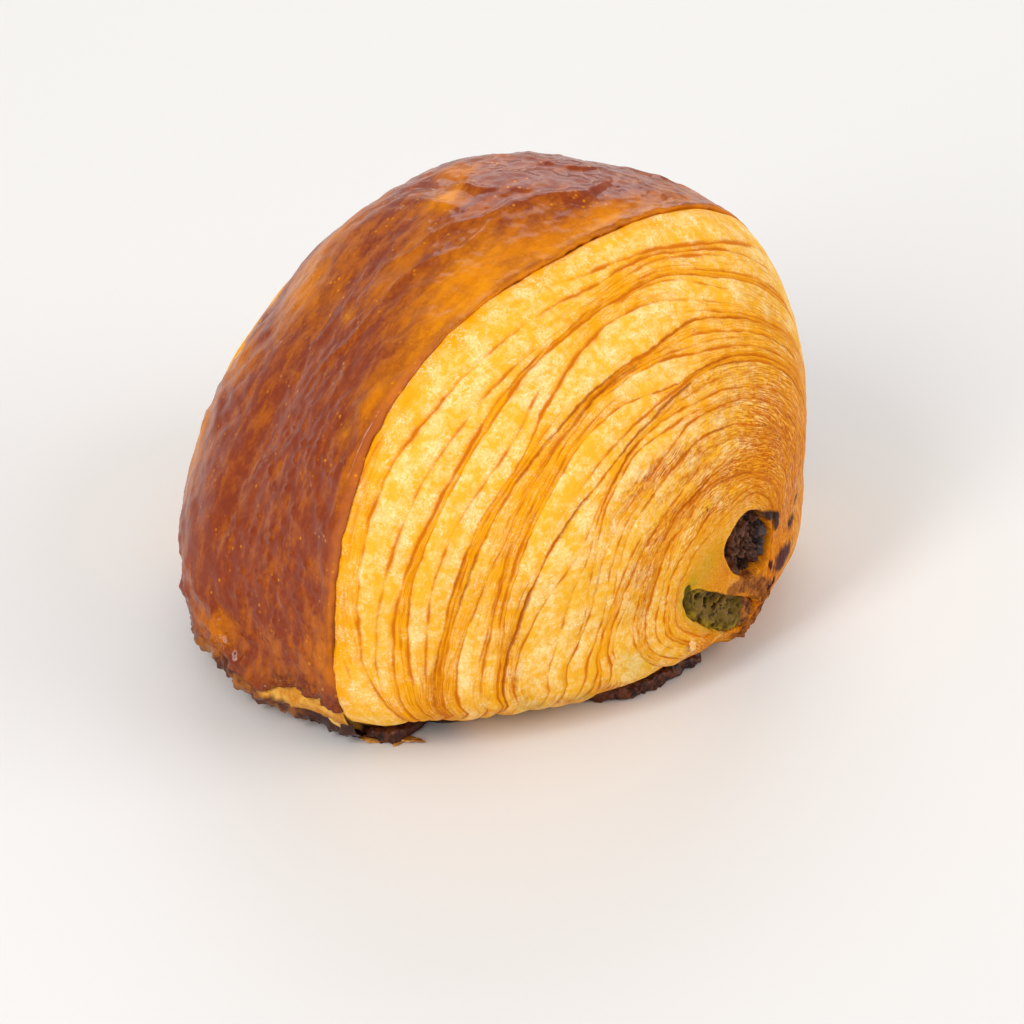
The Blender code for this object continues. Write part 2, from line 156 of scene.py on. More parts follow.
def near_end(share, angle):
    x, bulge, z = dome_point(NEAR_SECTION, NEAR_DOME, share, angle)
    edge_z = section_outline(NEAR_SECTION, angle)[1]
    y = NEAR_DOME.depth - LENGTH / 2 - NEAR_DOME.depth * bulge
    y = y - EDGE_TILT * (1 - bulge) * edge_z / NEAR_SECTION.height
    return np.stack([x, y, z], -1)


def far_end(share, angle):
    x, bulge, z = dome_point(FAR_SECTION, FAR_DOME, share, angle)
    nose = FAR_DOME.nose * (1 - np.clip(share / NOSE_SHARE, 0, 1) ** 2) ** NOSE_POWER
    y = LENGTH / 2 - FAR_DOME.nose - FAR_DOME.depth * (1 - bulge) + nose
    return np.stack([x, y, z], -1)


def crust(across, angle):
    """A point of the crust: across is 0 at its near edge and 1 at its far edge."""
    edge = np.ones_like(angle)
    share = across[..., None]
    point = near_end(edge, angle) * (1 - share) + far_end(edge, angle) * share
    up, side = np.clip(np.sin(angle), 0, 1), np.cos(angle)
    crown_side = CROWN_LEFT * np.clip(-side, 0, 1) + CROWN_RIGHT * np.clip(side, 0, 1)
    crown = CROWN_TOP * up + crown_side * (1 - up)
    above_foot = np.clip((np.sin(angle) + CROWN_FADE) / (2 * CROWN_FADE), 0, 1)
    crown = crown * above_foot * 4 * across * (1 - across)
    return point + np.stack([side * crown, np.zeros_like(crown), up * crown], -1)


def foot_shift(place, point):
    """How far to the right the left foot moves: in at the near corner, and out at the heel."""
    pull = CORNER_PULL * np.exp(-(((place - CORNER_PLACE) / CORNER_SPREAD) ** 2))
    flare = HEEL_FLARE * np.exp(-(((place - HEEL_PLACE) / HEEL_SPREAD) ** 2))
    low = 1 - ramp(point[..., 2], FOOT_FREE_Z, FOOT_HELD_Z)
    return (pull - flare) * low * ramp(-point[..., 0], SHIFT_FROM_X, SHIFT_FULL_X)


def undercut(place, point):
    """How far the near end's low edge stands back over the chocolate at its base."""
    low = 1 - ramp(point[..., 2], UNDERCUT_FULL_Z, UNDERCUT_END_Z)
    middle = np.exp(-(((point[..., 0] - UNDERCUT_X) / UNDERCUT_SPREAD) ** 4))
    return UNDERCUT * low * middle * (1 - ramp(place, UNDERCUT_PLACE, 1))


def roll_point(place, angle):
    """The smooth roll, before any relief, for a place from 0 to 3 along it."""
    point = crust(np.clip(place - 1, 0, 1), angle)
    near = near_end(np.clip(place, 0, 1), angle)
    far = far_end(np.clip(3 - place, 0, 1), angle)
    point = np.where((place < 1)[..., None], near, point)
    point = np.where((place > 2)[..., None], far, point)
    point[..., 0] += foot_shift(place, point)
    point[..., 1] += undercut(place, point)
    return point


def outward(place, angle, step=1e-3):
    """Unit normals of the smooth roll."""
    inner = np.clip(place, 2 * step, 3 - 2 * step)
    along = roll_point(inner + step, angle) - roll_point(inner - step, angle)
    around = roll_point(inner, angle + step) - roll_point(inner, angle - step)
    normal = np.cross(along, around)
    return normal / np.maximum(np.linalg.norm(normal, axis=-1, keepdims=True), 1e-12)


def bar_measure(bar, x, z):
    """How far out a point lies in a filling: 0 at its middle and 1 at its outline."""
    across, up = x - bar.x, z - bar.z
    u = across * np.cos(bar.turn) + up * np.sin(bar.turn)
    v = up * np.cos(bar.turn) - across * np.sin(bar.turn)
    total = np.abs(2 * u / bar.width) ** bar.corner + np.abs(2 * v / bar.height) ** bar.corner
    return total ** (1 / bar.corner)


def path_distance(path, x, z):
    """Distance in millimetres from a bent line across the near end, given by the x and z of its corners."""
    nearest = np.full_like(x, np.inf)
    for (x0, z0), (x1, z1) in zip(path, path[1:]):
        run_x, run_z = x1 - x0, z1 - z0
        part = np.clip(((x - x0) * run_x + (z - z0) * run_z) / (run_x**2 + run_z**2), 0, 1)
        nearest = np.minimum(nearest, np.hypot(x - x0 - part * run_x, z - z0 - part * run_z))
    return nearest


# Soft round marks on the roll: where, how wide round and along the roll, and how strong.
Patch = namedtuple("Patch", "angle place turn reach amount")


def painted(patches, angle, place):
    """The strongest of several soft marks at each point."""
    total = np.zeros_like(place)
    for patch in patches:
        off = (np.degrees(angle) - patch.angle + 90) % 360 - 90
        distance = (off / patch.turn) ** 2 + ((place - patch.place) / patch.reach) ** 2
        total = np.maximum(total, patch.amount * np.exp(-distance))
    return total


# How far the crust's near lip reaches over the cut end, in millimetres, at these angles in degrees.
OVERLAP_ANGLES, OVERLAPS = (105, 135, 150, 180, 193, 215), (0.0, 1.5, 2.0, 1.9, 2.8, 0.0)
# The crust's far edge reaches further on the left: by how much of a place, about which angle.
FAR_OVERLAP, FAR_OVERLAP_ANGLE, FAR_OVERLAP_SPREAD, FAR_OVERLAP_FROM = 0.055, 146, 30, 2.05


def lip_overlap(angle):
    return np.interp(np.degrees(angle), OVERLAP_ANGLES, OVERLAPS)


def far_overlap(angle):
    return FAR_OVERLAP * np.exp(-(((np.degrees(angle) - FAR_OVERLAP_ANGLE) / FAR_OVERLAP_SPREAD) ** 4))


def near_place(forward):
    """The place on the near end that lies this far in front of the crust's edge, in millimetres."""
    return 1 - (np.maximum(forward, 0) / NEAR_DOME.depth) ** NEAR_DOME.side_root / NEAR_DOME.side_power


def closed_curve(knots, values, angle):
    """A smooth closed curve through values at knots, in ascending order within one turn."""
    turn = 2 * np.pi
    all_knots = np.concatenate([knots - turn, knots, knots + turn])
    all_values = np.tile(values, 3)
    slopes = np.gradient(all_values, all_knots)
    left = np.clip(np.searchsorted(all_knots, angle, side="right") - 1, 0, len(all_knots) - 2)
    width = all_knots[left + 1] - all_knots[left]
    t = (angle - all_knots[left]) / width
    start = all_values[left] * (1 + 2 * t) * (1 - t) ** 2 + slopes[left] * width * t * (1 - t) ** 2
    end = all_values[left + 1] * t**2 * (3 - 2 * t) - slopes[left + 1] * width * t**2 * (1 - t)
    return start + end


def grid_piece(name, points, material, masks=None, closed=True, tip=None):
    """A mesh over rows and columns of points in millimetres, with a float mask for each name."""
    rows, columns = points.shape[:2]
    vertices = points.reshape(-1, 3)
    index = np.arange(rows * columns).reshape(rows, columns)
    if closed:
        index = np.concatenate([index, index[:, :1]], axis=1)
    corners = [index[:-1, :-1], index[1:, :-1], index[1:, 1:], index[:-1, 1:]]
    quads = np.stack(corners, -1).reshape(-1, 4)
    sizes = np.full(len(quads), 4)
    loops = quads.ravel()
    if tip is not None:
        vertices = np.concatenate([vertices, [tip]])
        last = index[-1]
        fan = np.stack([last[:-1], np.full(len(last) - 1, rows * columns), last[1:]], -1)
        sizes = np.concatenate([sizes, np.full(len(fan), 3)])
        loops = np.concatenate([loops, fan.ravel()])
    vertices = np.clip((vertices - MIDDLE) * MM, CAD_BOUNDS[0], CAD_BOUNDS[1])
    mesh = bpy.data.meshes.new(name)
    mesh.vertices.add(len(vertices))
    mesh.vertices.foreach_set("co", vertices.ravel())
    mesh.loops.add(len(loops))
    mesh.loops.foreach_set("vertex_index", loops)
    mesh.polygons.add(len(sizes))
    mesh.polygons.foreach_set("loop_start", np.concatenate([[0], np.cumsum(sizes)[:-1]]))
    mesh.update(calc_edges=True)
    mesh.shade_smooth()
    for mask, values in (masks or {}).items():
        flat = values.ravel()
        if tip is not None:
            flat = np.append(flat, values[-1].mean())
        mesh.attributes.new(mask, "FLOAT", "POINT").data.foreach_set("value", flat.astype(np.float32))
    mesh.materials.append(material)
    piece = bpy.data.objects.new(name, mesh)
    scene.collection.objects.link(piece)
    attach(piece, "root")
    return piece


# Materials


def srgb(red, green, blue):
    """A colour from 0 to 255 values, as linear light."""
    values = np.array([red, green, blue]) / 255
    linear = np.where(values <= 0.04045, values / 12.92, ((values + 0.055) / 1.055) ** 2.4)
    return (*linear.tolist(), 1.0)


PALE = srgb(251, 208, 122)
# Pale cream specks of froth, partly painted glints.
FOAM_AND_GLINT = srgb(254, 230, 170)
GOLD = srgb(245, 184, 50)
AMBER = srgb(243, 164, 6)
RICH = srgb(234, 152, 2)
LINE_ORANGE = srgb(210, 114, 2)
LINE_BROWN = srgb(164, 76, 6)
TOAST = srgb(206, 104, 14)
TOAST_RED = srgb(166, 72, 12)
SCORCH = srgb(74, 26, 26)
CARAMEL_CRUMB_DARK = srgb(112, 54, 16)
CARAMEL_CRUMB_LIGHT = srgb(172, 104, 38)
OLIVE_EDGE = srgb(92, 82, 8)
BASE_DARK = srgb(44, 20, 14)
BASE_LIGHT = srgb(116, 58, 28)
LEAF_GREEN = srgb(186, 152, 4)
CRUST_BROWN = srgb(153, 67, 12)
CRUST_DEEP = srgb(126, 46, 16)
CRUST_ORANGE = srgb(216, 124, 0)
CRUST_YELLOW = srgb(236, 150, 2)
# Lighter brown of the lip, partly a painted highlight.
LIP_BROWN_AND_HIGHLIGHT = srgb(206, 112, 44)
RIM_BROWN = srgb(104, 38, 16)
CARAMEL_DARK = srgb(84, 36, 14)
CARAMEL = srgb(160, 90, 20)
CHOCOLATE = srgb(54, 28, 20)
CHOCOLATE_LIGHT = srgb(116, 72, 50)
# Painted sheen: a grey blue reflection laid on the baton's right side.
CHOCOLATE_SIDE_SHEEN = srgb(82, 74, 78)
MATCHA_OLIVE = srgb(96, 74, 10)
MATCHA_GREY = srgb(126, 98, 44)
MATCHA_BRIGHT = srgb(160, 134, 6)
FOOT_GOLD = srgb(196, 122, 28)
FOOT_PALE = srgb(226, 168, 72)
# Painted shade: near black, laid into the cracks, holes and hollows of the fillings and the base chocolate.
PAINTED_HOLE_SHADE = srgb(22, 14, 8)


def node(tree, kind, inputs=None, **settings):
    """A new node with its settings and inputs. An input is a number, a colour or another output."""
    made = tree.nodes.new(kind)
    for name, value in settings.items():
        setattr(made, name, value)
    for name, value in (inputs or {}).items():
        if isinstance(value, bpy.types.NodeSocket):
            tree.links.new(value, made.inputs[name])
        else:
            made.inputs[name].default_value = value
    return made


def mix(tree, factor, first, second):
    return node(tree, "ShaderNodeMix", {0: factor, 6: first, 7: second}, data_type="RGBA").outputs[2]


def math(tree, operation, first, second=0.0, clamp=False):
    inputs = {0: first, 1: second}
    return node(tree, "ShaderNodeMath", inputs, operation=operation, use_clamp=clamp).outputs[0]


def plus(tree, first, second, clamp=False):
    return math(tree, "ADD", first, second, clamp)


def minus(tree, first, second, clamp=False):
    return math(tree, "SUBTRACT", first, second, clamp)


def times(tree, first, second, clamp=False):
    return math(tree, "MULTIPLY", first, second, clamp)


def window(tree, value, low, high):
    """0 where value is under low, 1 where it is over high, and smooth between."""
    inputs = {"Value": value, "From Min": low, "From Max": high}
    return node(tree, "ShaderNodeMapRange", inputs, interpolation_type="SMOOTHSTEP").outputs[0]


def mask(tree, name):
    return node(tree, "ShaderNodeAttribute", attribute_name=name).outputs["Fac"]


def cloud(tree, vector, scale, detail=2.0, rough=0.5):
    inputs = {"Vector": vector, "Scale": scale, "Detail": detail, "Roughness": rough}
    return node(tree, "ShaderNodeTexNoise", inputs).outputs["Fac"]


def dots(tree, vector, scale):
    """The distance to the nearest of many scattered points."""
    made = node(tree, "ShaderNodeTexVoronoi", {"Vector": vector, "Scale": scale}, feature="F1")
    return made.outputs["Distance"]


def place_vector(tree):
    return node(tree, "ShaderNodeTexCoord").outputs["Object"]


def new_group(name, inputs, outputs):
    """A node group with named number inputs and outputs. Gives its tree, its inputs and its output node."""
    tree = bpy.data.node_groups.new(name, "ShaderNodeTree")
    for title, value in inputs.items():
        socket = tree.interface.new_socket(title, in_out="INPUT", socket_type="NodeSocketFloat")
        socket.default_value = value
    for title in outputs:
        tree.interface.new_socket(title, in_out="OUTPUT", socket_type="NodeSocketFloat")
    entry = tree.nodes.new("NodeGroupInput")
    leave = tree.nodes.new("NodeGroupOutput")
    return tree, entry, leave


def blister_group():
    """Fine bubbles of baked dough: a pale mottling, white specks that are partly painted glints, and their height."""
    tree, entry, leave = new_group("dough_blisters", {"Scale": 1.0}, ("Mottle", "Foam_and_glint", "Height"))
    vector = place_vector(tree)
    scale = entry.outputs["Scale"]
    fine = cloud(tree, vector, times(tree, scale, 2500.0), 2.0, 0.6)
    middling = cloud(tree, vector, times(tree, scale, 760.0), 3.0, 0.6)
    coarse = cloud(tree, vector, times(tree, scale, 280.0), 2.0, 0.6)
    both = plus(tree, times(tree, middling, 0.5), times(tree, coarse, 0.35))
    both = plus(tree, both, times(tree, fine, 0.15))
    tree.links.new(window(tree, both, 0.42, 0.58), leave.inputs["Mottle"])
    foam_and_glint = plus(tree, times(tree, fine, 0.5), times(tree, coarse, 0.5))
    tree.links.new(window(tree, foam_and_glint, 0.50, 0.66), leave.inputs["Foam_and_glint"])
    height = plus(tree, times(tree, fine, 0.35), times(tree, middling, 0.7))
    tree.links.new(height, leave.inputs["Height"])
    return tree


def lamina_group():
    """Hair-thin lines and streaks that run with the layers, part and merge."""
    tree, entry, leave = new_group("thin_layer_lines", {"Layer": 0.0, "Turn": 0.0}, ("Lines", "Streaks"))

    def along(layer_rate, turn_rate, detail):
        vector = node(tree, "ShaderNodeCombineXYZ", {
            "X": times(tree, entry.outputs["Layer"], layer_rate),
            "Y": times(tree, entry.outputs["Turn"], turn_rate),
        }).outputs[0]
        return cloud(tree, vector, 1.0, detail, 0.6)

    def ridges(value, reach):
        away = math(tree, "ABSOLUTE", minus(tree, value, 0.5))
        return minus(tree, 1.0, window(tree, away, 0.0, reach))

    sparse = ridges(along(2.1, 1.5, 2.0), 0.022)
    close = times(tree, ridges(along(5.2, 3.4, 2.0), 0.036), 0.8)
    tree.links.new(math(tree, "MAXIMUM", sparse, close), leave.inputs["Lines"])
    tree.links.new(window(tree, along(17.0, 12.0, 3.0), 0.38, 0.62), leave.inputs["Streaks"])
    return tree


def crumble_group():
    """Coarse lumps, as in baked chocolate and matcha: a random tone, darkened between the lumps as painted shade, and
    its height.
    """
    tree, entry, leave = new_group("crumbly_lumps", {"Scale": 1.0}, ("Shade", "Height"))
    vector = place_vector(tree)
    lumps = dots(tree, vector, times(tree, entry.outputs["Scale"], 900.0))
    fine = cloud(tree, vector, times(tree, entry.outputs["Scale"], 1900.0), 3.0, 0.65)
    broad = cloud(tree, vector, times(tree, entry.outputs["Scale"], 420.0), 2.0, 0.6)
    shade = plus(tree, times(tree, broad, 0.75), times(tree, fine, 0.55))
    # Painted shade: darker towards each lump's edge, where the surface lies low.
    shade = minus(tree, shade, times(tree, lumps, 0.25))
    tree.links.new(window(tree, shade, 0.38, 0.70), leave.inputs["Shade"])
    height = minus(tree, times(tree, fine, 0.8), lumps)
    tree.links.new(height, leave.inputs["Height"])
    return tree


BLISTERS = blister_group()
LAMINA = lamina_group()
CRUMBLE = crumble_group()


def use_group(tree, group, scale):
    made = node(tree, "ShaderNodeGroup")
    made.node_tree = group
    made.inputs["Scale"].default_value = scale
    return made.outputs


def new_material(name, coat=0.0, coat_roughness=0.15):
    made = bpy.data.materials.new(name)
    made.use_nodes = True
    shader = made.node_tree.nodes["Principled BSDF"]
    shader.inputs["Coat Weight"].default_value = coat
    shader.inputs["Coat Roughness"].default_value = coat_roughness
    return made, made.node_tree, shader


def finish_shader(tree, shader, color, roughness, height, distance):
    """Joins a colour and a height to the shader and sets its roughness. The distance is in millimetres."""
    tree.links.new(color, shader.inputs["Base Color"])
    shader.inputs["Roughness"].default_value = roughness
    bump = node(tree, "ShaderNodeBump", {"Height": height, "Distance": distance * MM, "Strength": 1.0})
    tree.links.new(bump.outputs["Normal"], shader.inputs["Normal"])


def layered_dough():
    """The cut ends: pale blistered bands, orange lines between them, and browned and scorched places."""
    made, tree, shader = new_material("layered_dough", coat_roughness=0.16)
    shader.inputs["Specular IOR Level"].default_value = 0.05
    shader.inputs["Coat IOR"].default_value = 1.4
    shader.inputs["Subsurface Weight"].default_value = 0.2
    shader.inputs["Subsurface Radius"].default_value = (1.0, 0.45, 0.12)
    shader.inputs["Subsurface Scale"].default_value = 0.5 * MM
    blisters = use_group(tree, BLISTERS, 1.0)
    crumble = use_group(tree, CRUMBLE, 1.3)
    lamina = tree.nodes.new("ShaderNodeGroup")
    lamina.node_tree = LAMINA
    tree.links.new(mask(tree, "layer"), lamina.inputs["Layer"])
    tree.links.new(mask(tree, "turn"), lamina.inputs["Turn"])
    lines, streaks = lamina.outputs["Lines"], lamina.outputs["Streaks"]
    vector = place_vector(tree)
    patchy = window(tree, cloud(tree, vector, 240.0, 2.0, 0.5), 0.38, 0.62)
    specks = window(tree, cloud(tree, vector, 1500.0, 2.0, 0.6), 0.47, 0.60)
    ragged = times(tree, minus(tree, cloud(tree, vector, 900.0, 3.0, 0.65), 0.5), 1.3)
    names = ("narrow", "edge", "glaze", "rich", "toast")
    narrow, edge, glaze, rich, toast = (mask(tree, name) for name in names)

    color = mix(tree, blisters["Mottle"], GOLD, PALE)
    warm = plus(tree, times(tree, narrow, 0.70), times(tree, edge, 0.80))
    warm = times(tree, warm, plus(tree, times(tree, streaks, 0.35), 0.75), True)
    color = mix(tree, warm, color, AMBER)
    glazed = times(tree, glaze, plus(tree, times(tree, patchy, 0.5), 0.5), True)
    color = mix(tree, glazed, color, AMBER)
    deepened = times(tree, minus(tree, streaks, 0.5), 0.45)
    deepened = window(tree, plus(tree, rich, deepened), 0.15, 0.72)
    color = mix(tree, deepened, color, RICH)
    plain = plus(tree, times(tree, narrow, 0.45), times(tree, deepened, 0.70))
    # Pale specks, partly froth and partly painted glints; the same mask also raises the coat for real gloss.
    foam_and_glint = times(tree, blisters["Foam_and_glint"], minus(tree, 0.75, plain, True), True)
    color = mix(tree, foam_and_glint, color, FOAM_AND_GLINT)
    streaked = times(tree, toast, plus(tree, times(tree, streaks, 0.75), 0.12), True)
    color = mix(tree, streaked, color, TOAST)
    show = plus(tree, times(tree, narrow, 0.60), 0.12)
    color = mix(tree, times(tree, lines, show, True), color, LINE_ORANGE)
    ink = window(tree, plus(tree, mask(tree, "line"), times(tree, ragged, 0.35)), 0.10, 0.75)
    color = mix(tree, ink, color, LINE_ORANGE)
    seared = times(tree, math(tree, "MAXIMUM", lines, times(tree, streaks, 0.85)), toast)
    seared = times(tree, seared, plus(tree, times(tree, specks, 0.7), 0.3), True)
    color = mix(tree, seared, color, TOAST_RED)
    dark = plus(tree, mask(tree, "dark"), times(tree, ragged, 0.6))
    dark = times(tree, window(tree, dark, 0.12, 0.80), 0.80)
    color = mix(tree, dark, color, LINE_BROWN)
    color = mix(tree, mask(tree, "green"), color, LEAF_GREEN)
    olive = window(tree, plus(tree, mask(tree, "olive"), times(tree, ragged, 0.9)), 0.30, 0.75)
    color = mix(tree, olive, color, OLIVE_EDGE)
    crumbs = mix(tree, crumble["Shade"], CARAMEL_CRUMB_DARK, CARAMEL_CRUMB_LIGHT)
    brown = window(tree, plus(tree, mask(tree, "brown"), times(tree, ragged, 1.1)), 0.30, 0.75)
    color = mix(tree, brown, color, crumbs)
    scorch = window(tree, plus(tree, mask(tree, "scorch"), times(tree, ragged, 0.7)), 0.30, 0.75)
    color = mix(tree, scorch, color, SCORCH)
    color = mix(tree, mask(tree, "burnt"), color, CHOCOLATE)
    glint = plus(tree, times(tree, glaze, 0.6), times(tree, toast, 0.25))
    glint = times(tree, blisters["Foam_and_glint"], plus(tree, glint, 0.12), True)
    tree.links.new(glint, shader.inputs["Coat Weight"])
    height = plus(tree, blisters["Height"], times(tree, streaks, 0.08))
    height = minus(tree, height, times(tree, lines, 0.12))
    height = plus(tree, height, times(tree, times(tree, crumble["Height"], brown), 1.2))
    finish_shader(tree, shader, color, 0.5, height, 0.12)
    return made


def glazed_crust():
    """The egg-washed crust: deep red brown with orange places, pale specks, tiny blisters and a lighter lip that is
    partly a painted highlight.
    """
    made, tree, shader = new_material("glazed_crust", coat_roughness=0.11)
    shader.inputs["Coat IOR"].default_value = 1.36
    shader.inputs["Specular IOR Level"].default_value = 0.03
    vector = place_vector(tree)
    inputs = {0: vector, 1: (1.0, 1.9, 1.0)}
    streaked = node(tree, "ShaderNodeVectorMath", inputs, operation="MULTIPLY").outputs[0]
    broad = window(tree, cloud(tree, streaked, 66.0, 3.0, 0.55), 0.36, 0.64)
    patchy = window(tree, cloud(tree, streaked, 220.0, 3.0, 0.62), 0.36, 0.66)
    tiny = window(tree, cloud(tree, vector, 1300.0, 2.0, 0.6), 0.36, 0.66)
    grain = cloud(tree, vector, 1500.0, 2.0, 0.6)

    mottle = plus(tree, times(tree, patchy, 0.75), times(tree, tiny, 0.25))
    color = mix(tree, mottle, CRUST_DEEP, CRUST_BROWN)
    orange = plus(tree, mask(tree, "orange"), times(tree, minus(tree, broad, 0.5), 0.20))
    orange = plus(tree, orange, times(tree, minus(tree, mottle, 0.5), 0.34), True)
    color = mix(tree, orange, color, CRUST_ORANGE)
    bright = times(tree, mask(tree, "bright"), plus(tree, mottle, 0.3), True)
    color = mix(tree, bright, color, CRUST_YELLOW)
    # Painted highlight: the lip is lightened where it catches the light.
    color = mix(tree, times(tree, mask(tree, "lip"), 0.6), color, LIP_BROWN_AND_HIGHLIGHT)
    deep = times(tree, mask(tree, "deep"), minus(tree, 1.25, mottle), True)
    color = mix(tree, deep, color, CRUST_DEEP)
    speck = minus(tree, 1.0, window(tree, dots(tree, vector, 640.0), 0.08, 0.24))
    keep = window(tree, cloud(tree, vector, 170.0, 1.0), 0.46, 0.64)
    speck = times(tree, times(tree, speck, keep), 0.6)
    color = mix(tree, speck, color, CRUST_YELLOW)
    rim = plus(tree, mask(tree, "rim"), times(tree, minus(tree, tiny, 0.5), 0.4))
    color = mix(tree, times(tree, window(tree, rim, 0.15, 1.1), 0.9), color, RIM_BROWN)
    gloss = plus(tree, times(tree, mask(tree, "lip"), 0.45), 0.52)
    gloss = plus(tree, gloss, times(tree, mask(tree, "rim"), 0.4))
    gloss = times(tree, gloss, minus(tree, 1.0, times(tree, orange, 0.60)), True)
    tree.links.new(gloss, shader.inputs["Coat Weight"])
    pit = minus(tree, 1.0, window(tree, dots(tree, vector, 520.0), 0.06, 0.22))
    pit = times(tree, pit, mask(tree, "blister"))
    height = plus(tree, times(tree, grain, 0.22), times(tree, tiny, 0.10))
    height = minus(tree, height, times(tree, pit, 2.2))
    finish_shader(tree, shader, color, 0.5, height, 0.07)
    return made


def foot_dough():
    """Below the rim: a pale inner layer, and crumpled caramel under it."""
    made, tree, shader = new_material("foot_dough", coat_roughness=0.15)
    shader.inputs["Specular IOR Level"].default_value = 0.10
    shader.inputs["Coat IOR"].default_value = 1.4
    vector = place_vector(tree)
    blisters = use_group(tree, BLISTERS, 0.6)
    crumble = use_group(tree, CRUMBLE, 0.6)
    pale = mix(tree, blisters["Mottle"], FOOT_GOLD, FOOT_PALE)
    patchy = window(tree, cloud(tree, vector, 260.0, 3.0, 0.6), 0.40, 0.62)
    burnt = mix(tree, patchy, CARAMEL_DARK, CARAMEL)
    burnt = mix(tree, times(tree, mask(tree, "chocolate"), 0.9), burnt, CHOCOLATE)
    color = mix(tree, mask(tree, "pale"), burnt, pale)
    glossy = minus(tree, 0.5, times(tree, mask(tree, "pale"), 0.45), True)
    tree.links.new(glossy, shader.inputs["Coat Weight"])
    finish_shader(tree, shader, color, 0.45, crumble["Height"], 0.2)
    return made


def chocolate(name, dark, light, amount, coat, side_sheen_and_browning=False):
    """Baked chocolate: dark and crumbly, with lighter broken faces, painted shade in its cracks and hollows and, on the
    baton, a painted grey sheen on its right side.
    """
    made, tree, shader = new_material(name, coat=coat, coat_roughness=0.18)
    shader.inputs["Specular IOR Level"].default_value = 0.15
    crumble = use_group(tree, CRUMBLE, 1.0)
    color = mix(tree, times(tree, crumble["Shade"], amount), dark, light)
    if side_sheen_and_browning:
        # On the baton: lighter lumps, and a painted grey sheen on the right side.
        color = mix(tree, mask(tree, "tone"), color, light)
        color = mix(tree, mask(tree, "side_sheen_and_browning"), color, CHOCOLATE_SIDE_SHEEN)
    # Painted shade: cracks and low places are darkened to near black.
    color = mix(tree, mask(tree, "painted_gap_shade"), color, PAINTED_HOLE_SHADE)
    finish_shader(tree, shader, color, 0.5, crumble["Height"], 0.22)
    return made


def matcha_paste():
    """Baked matcha: olive to grey brown, yellow green at its edges, browned at its right end, with painted shade in its
    holes and hollows.
    """
    made, tree, shader = new_material("matcha_paste")
    shader.inputs["Specular IOR Level"].default_value = 0.12
    vector = place_vector(tree)
    crumble = use_group(tree, CRUMBLE, 0.9)
    patchy = window(tree, cloud(tree, vector, 330.0, 3.0, 0.6), 0.40, 0.60)
    ragged = minus(tree, cloud(tree, vector, 800.0, 3.0, 0.65), 0.5)
    color = mix(tree, patchy, MATCHA_OLIVE, MATCHA_GREY)
    color = mix(tree, times(tree, mask(tree, "edge"), patchy), color, MATCHA_BRIGHT)
    crumbs = mix(tree, crumble["Shade"], CARAMEL_CRUMB_DARK, CARAMEL_CRUMB_LIGHT)
    # On the matcha the right side's mask is real browning.
    browned = window(tree, plus(tree, mask(tree, "side_sheen_and_browning"), ragged), 0.30, 0.60)
    color = mix(tree, browned, color, crumbs)
    # Painted shade in the holes and low places of the paste.
    color = mix(tree, mask(tree, "painted_gap_shade"), color, PAINTED_HOLE_SHADE)
    finish_shader(tree, shader, color, 0.6, crumble["Height"], 0.2)
    return made


def caramel_flake(name, dark, light):
    """Thin broken pieces of caramelised dough."""
    made, tree, shader = new_material(name, coat=0.4, coat_roughness=0.2)
    shader.inputs["Specular IOR Level"].default_value = 0.15
    patchy = window(tree, cloud(tree, place_vector(tree), 500.0, 3.0, 0.6), 0.38, 0.64)
    finish_shader(tree, shader, mix(tree, patchy, dark, light), 0.4, patchy, 0.1)
    return made


DOUGH = layered_dough()
CRUST = glazed_crust()
FOOT = foot_dough()
BATON_CHOCOLATE = chocolate("dark_chocolate", CHOCOLATE, CHOCOLATE_LIGHT, 0.8, 0.05, side_sheen_and_browning=True)
BASE_CHOCOLATE = chocolate("baked_chocolate", BASE_DARK, BASE_LIGHT, 0.85, 0.25)
MATCHA_PASTE = matcha_paste()
FLAKE = caramel_flake("caramel_flake", srgb(160, 96, 30), srgb(214, 156, 72))
PALE_FLAKE = caramel_flake("pale_flake", srgb(244, 176, 88), srgb(254, 222, 160))

# The near cut end

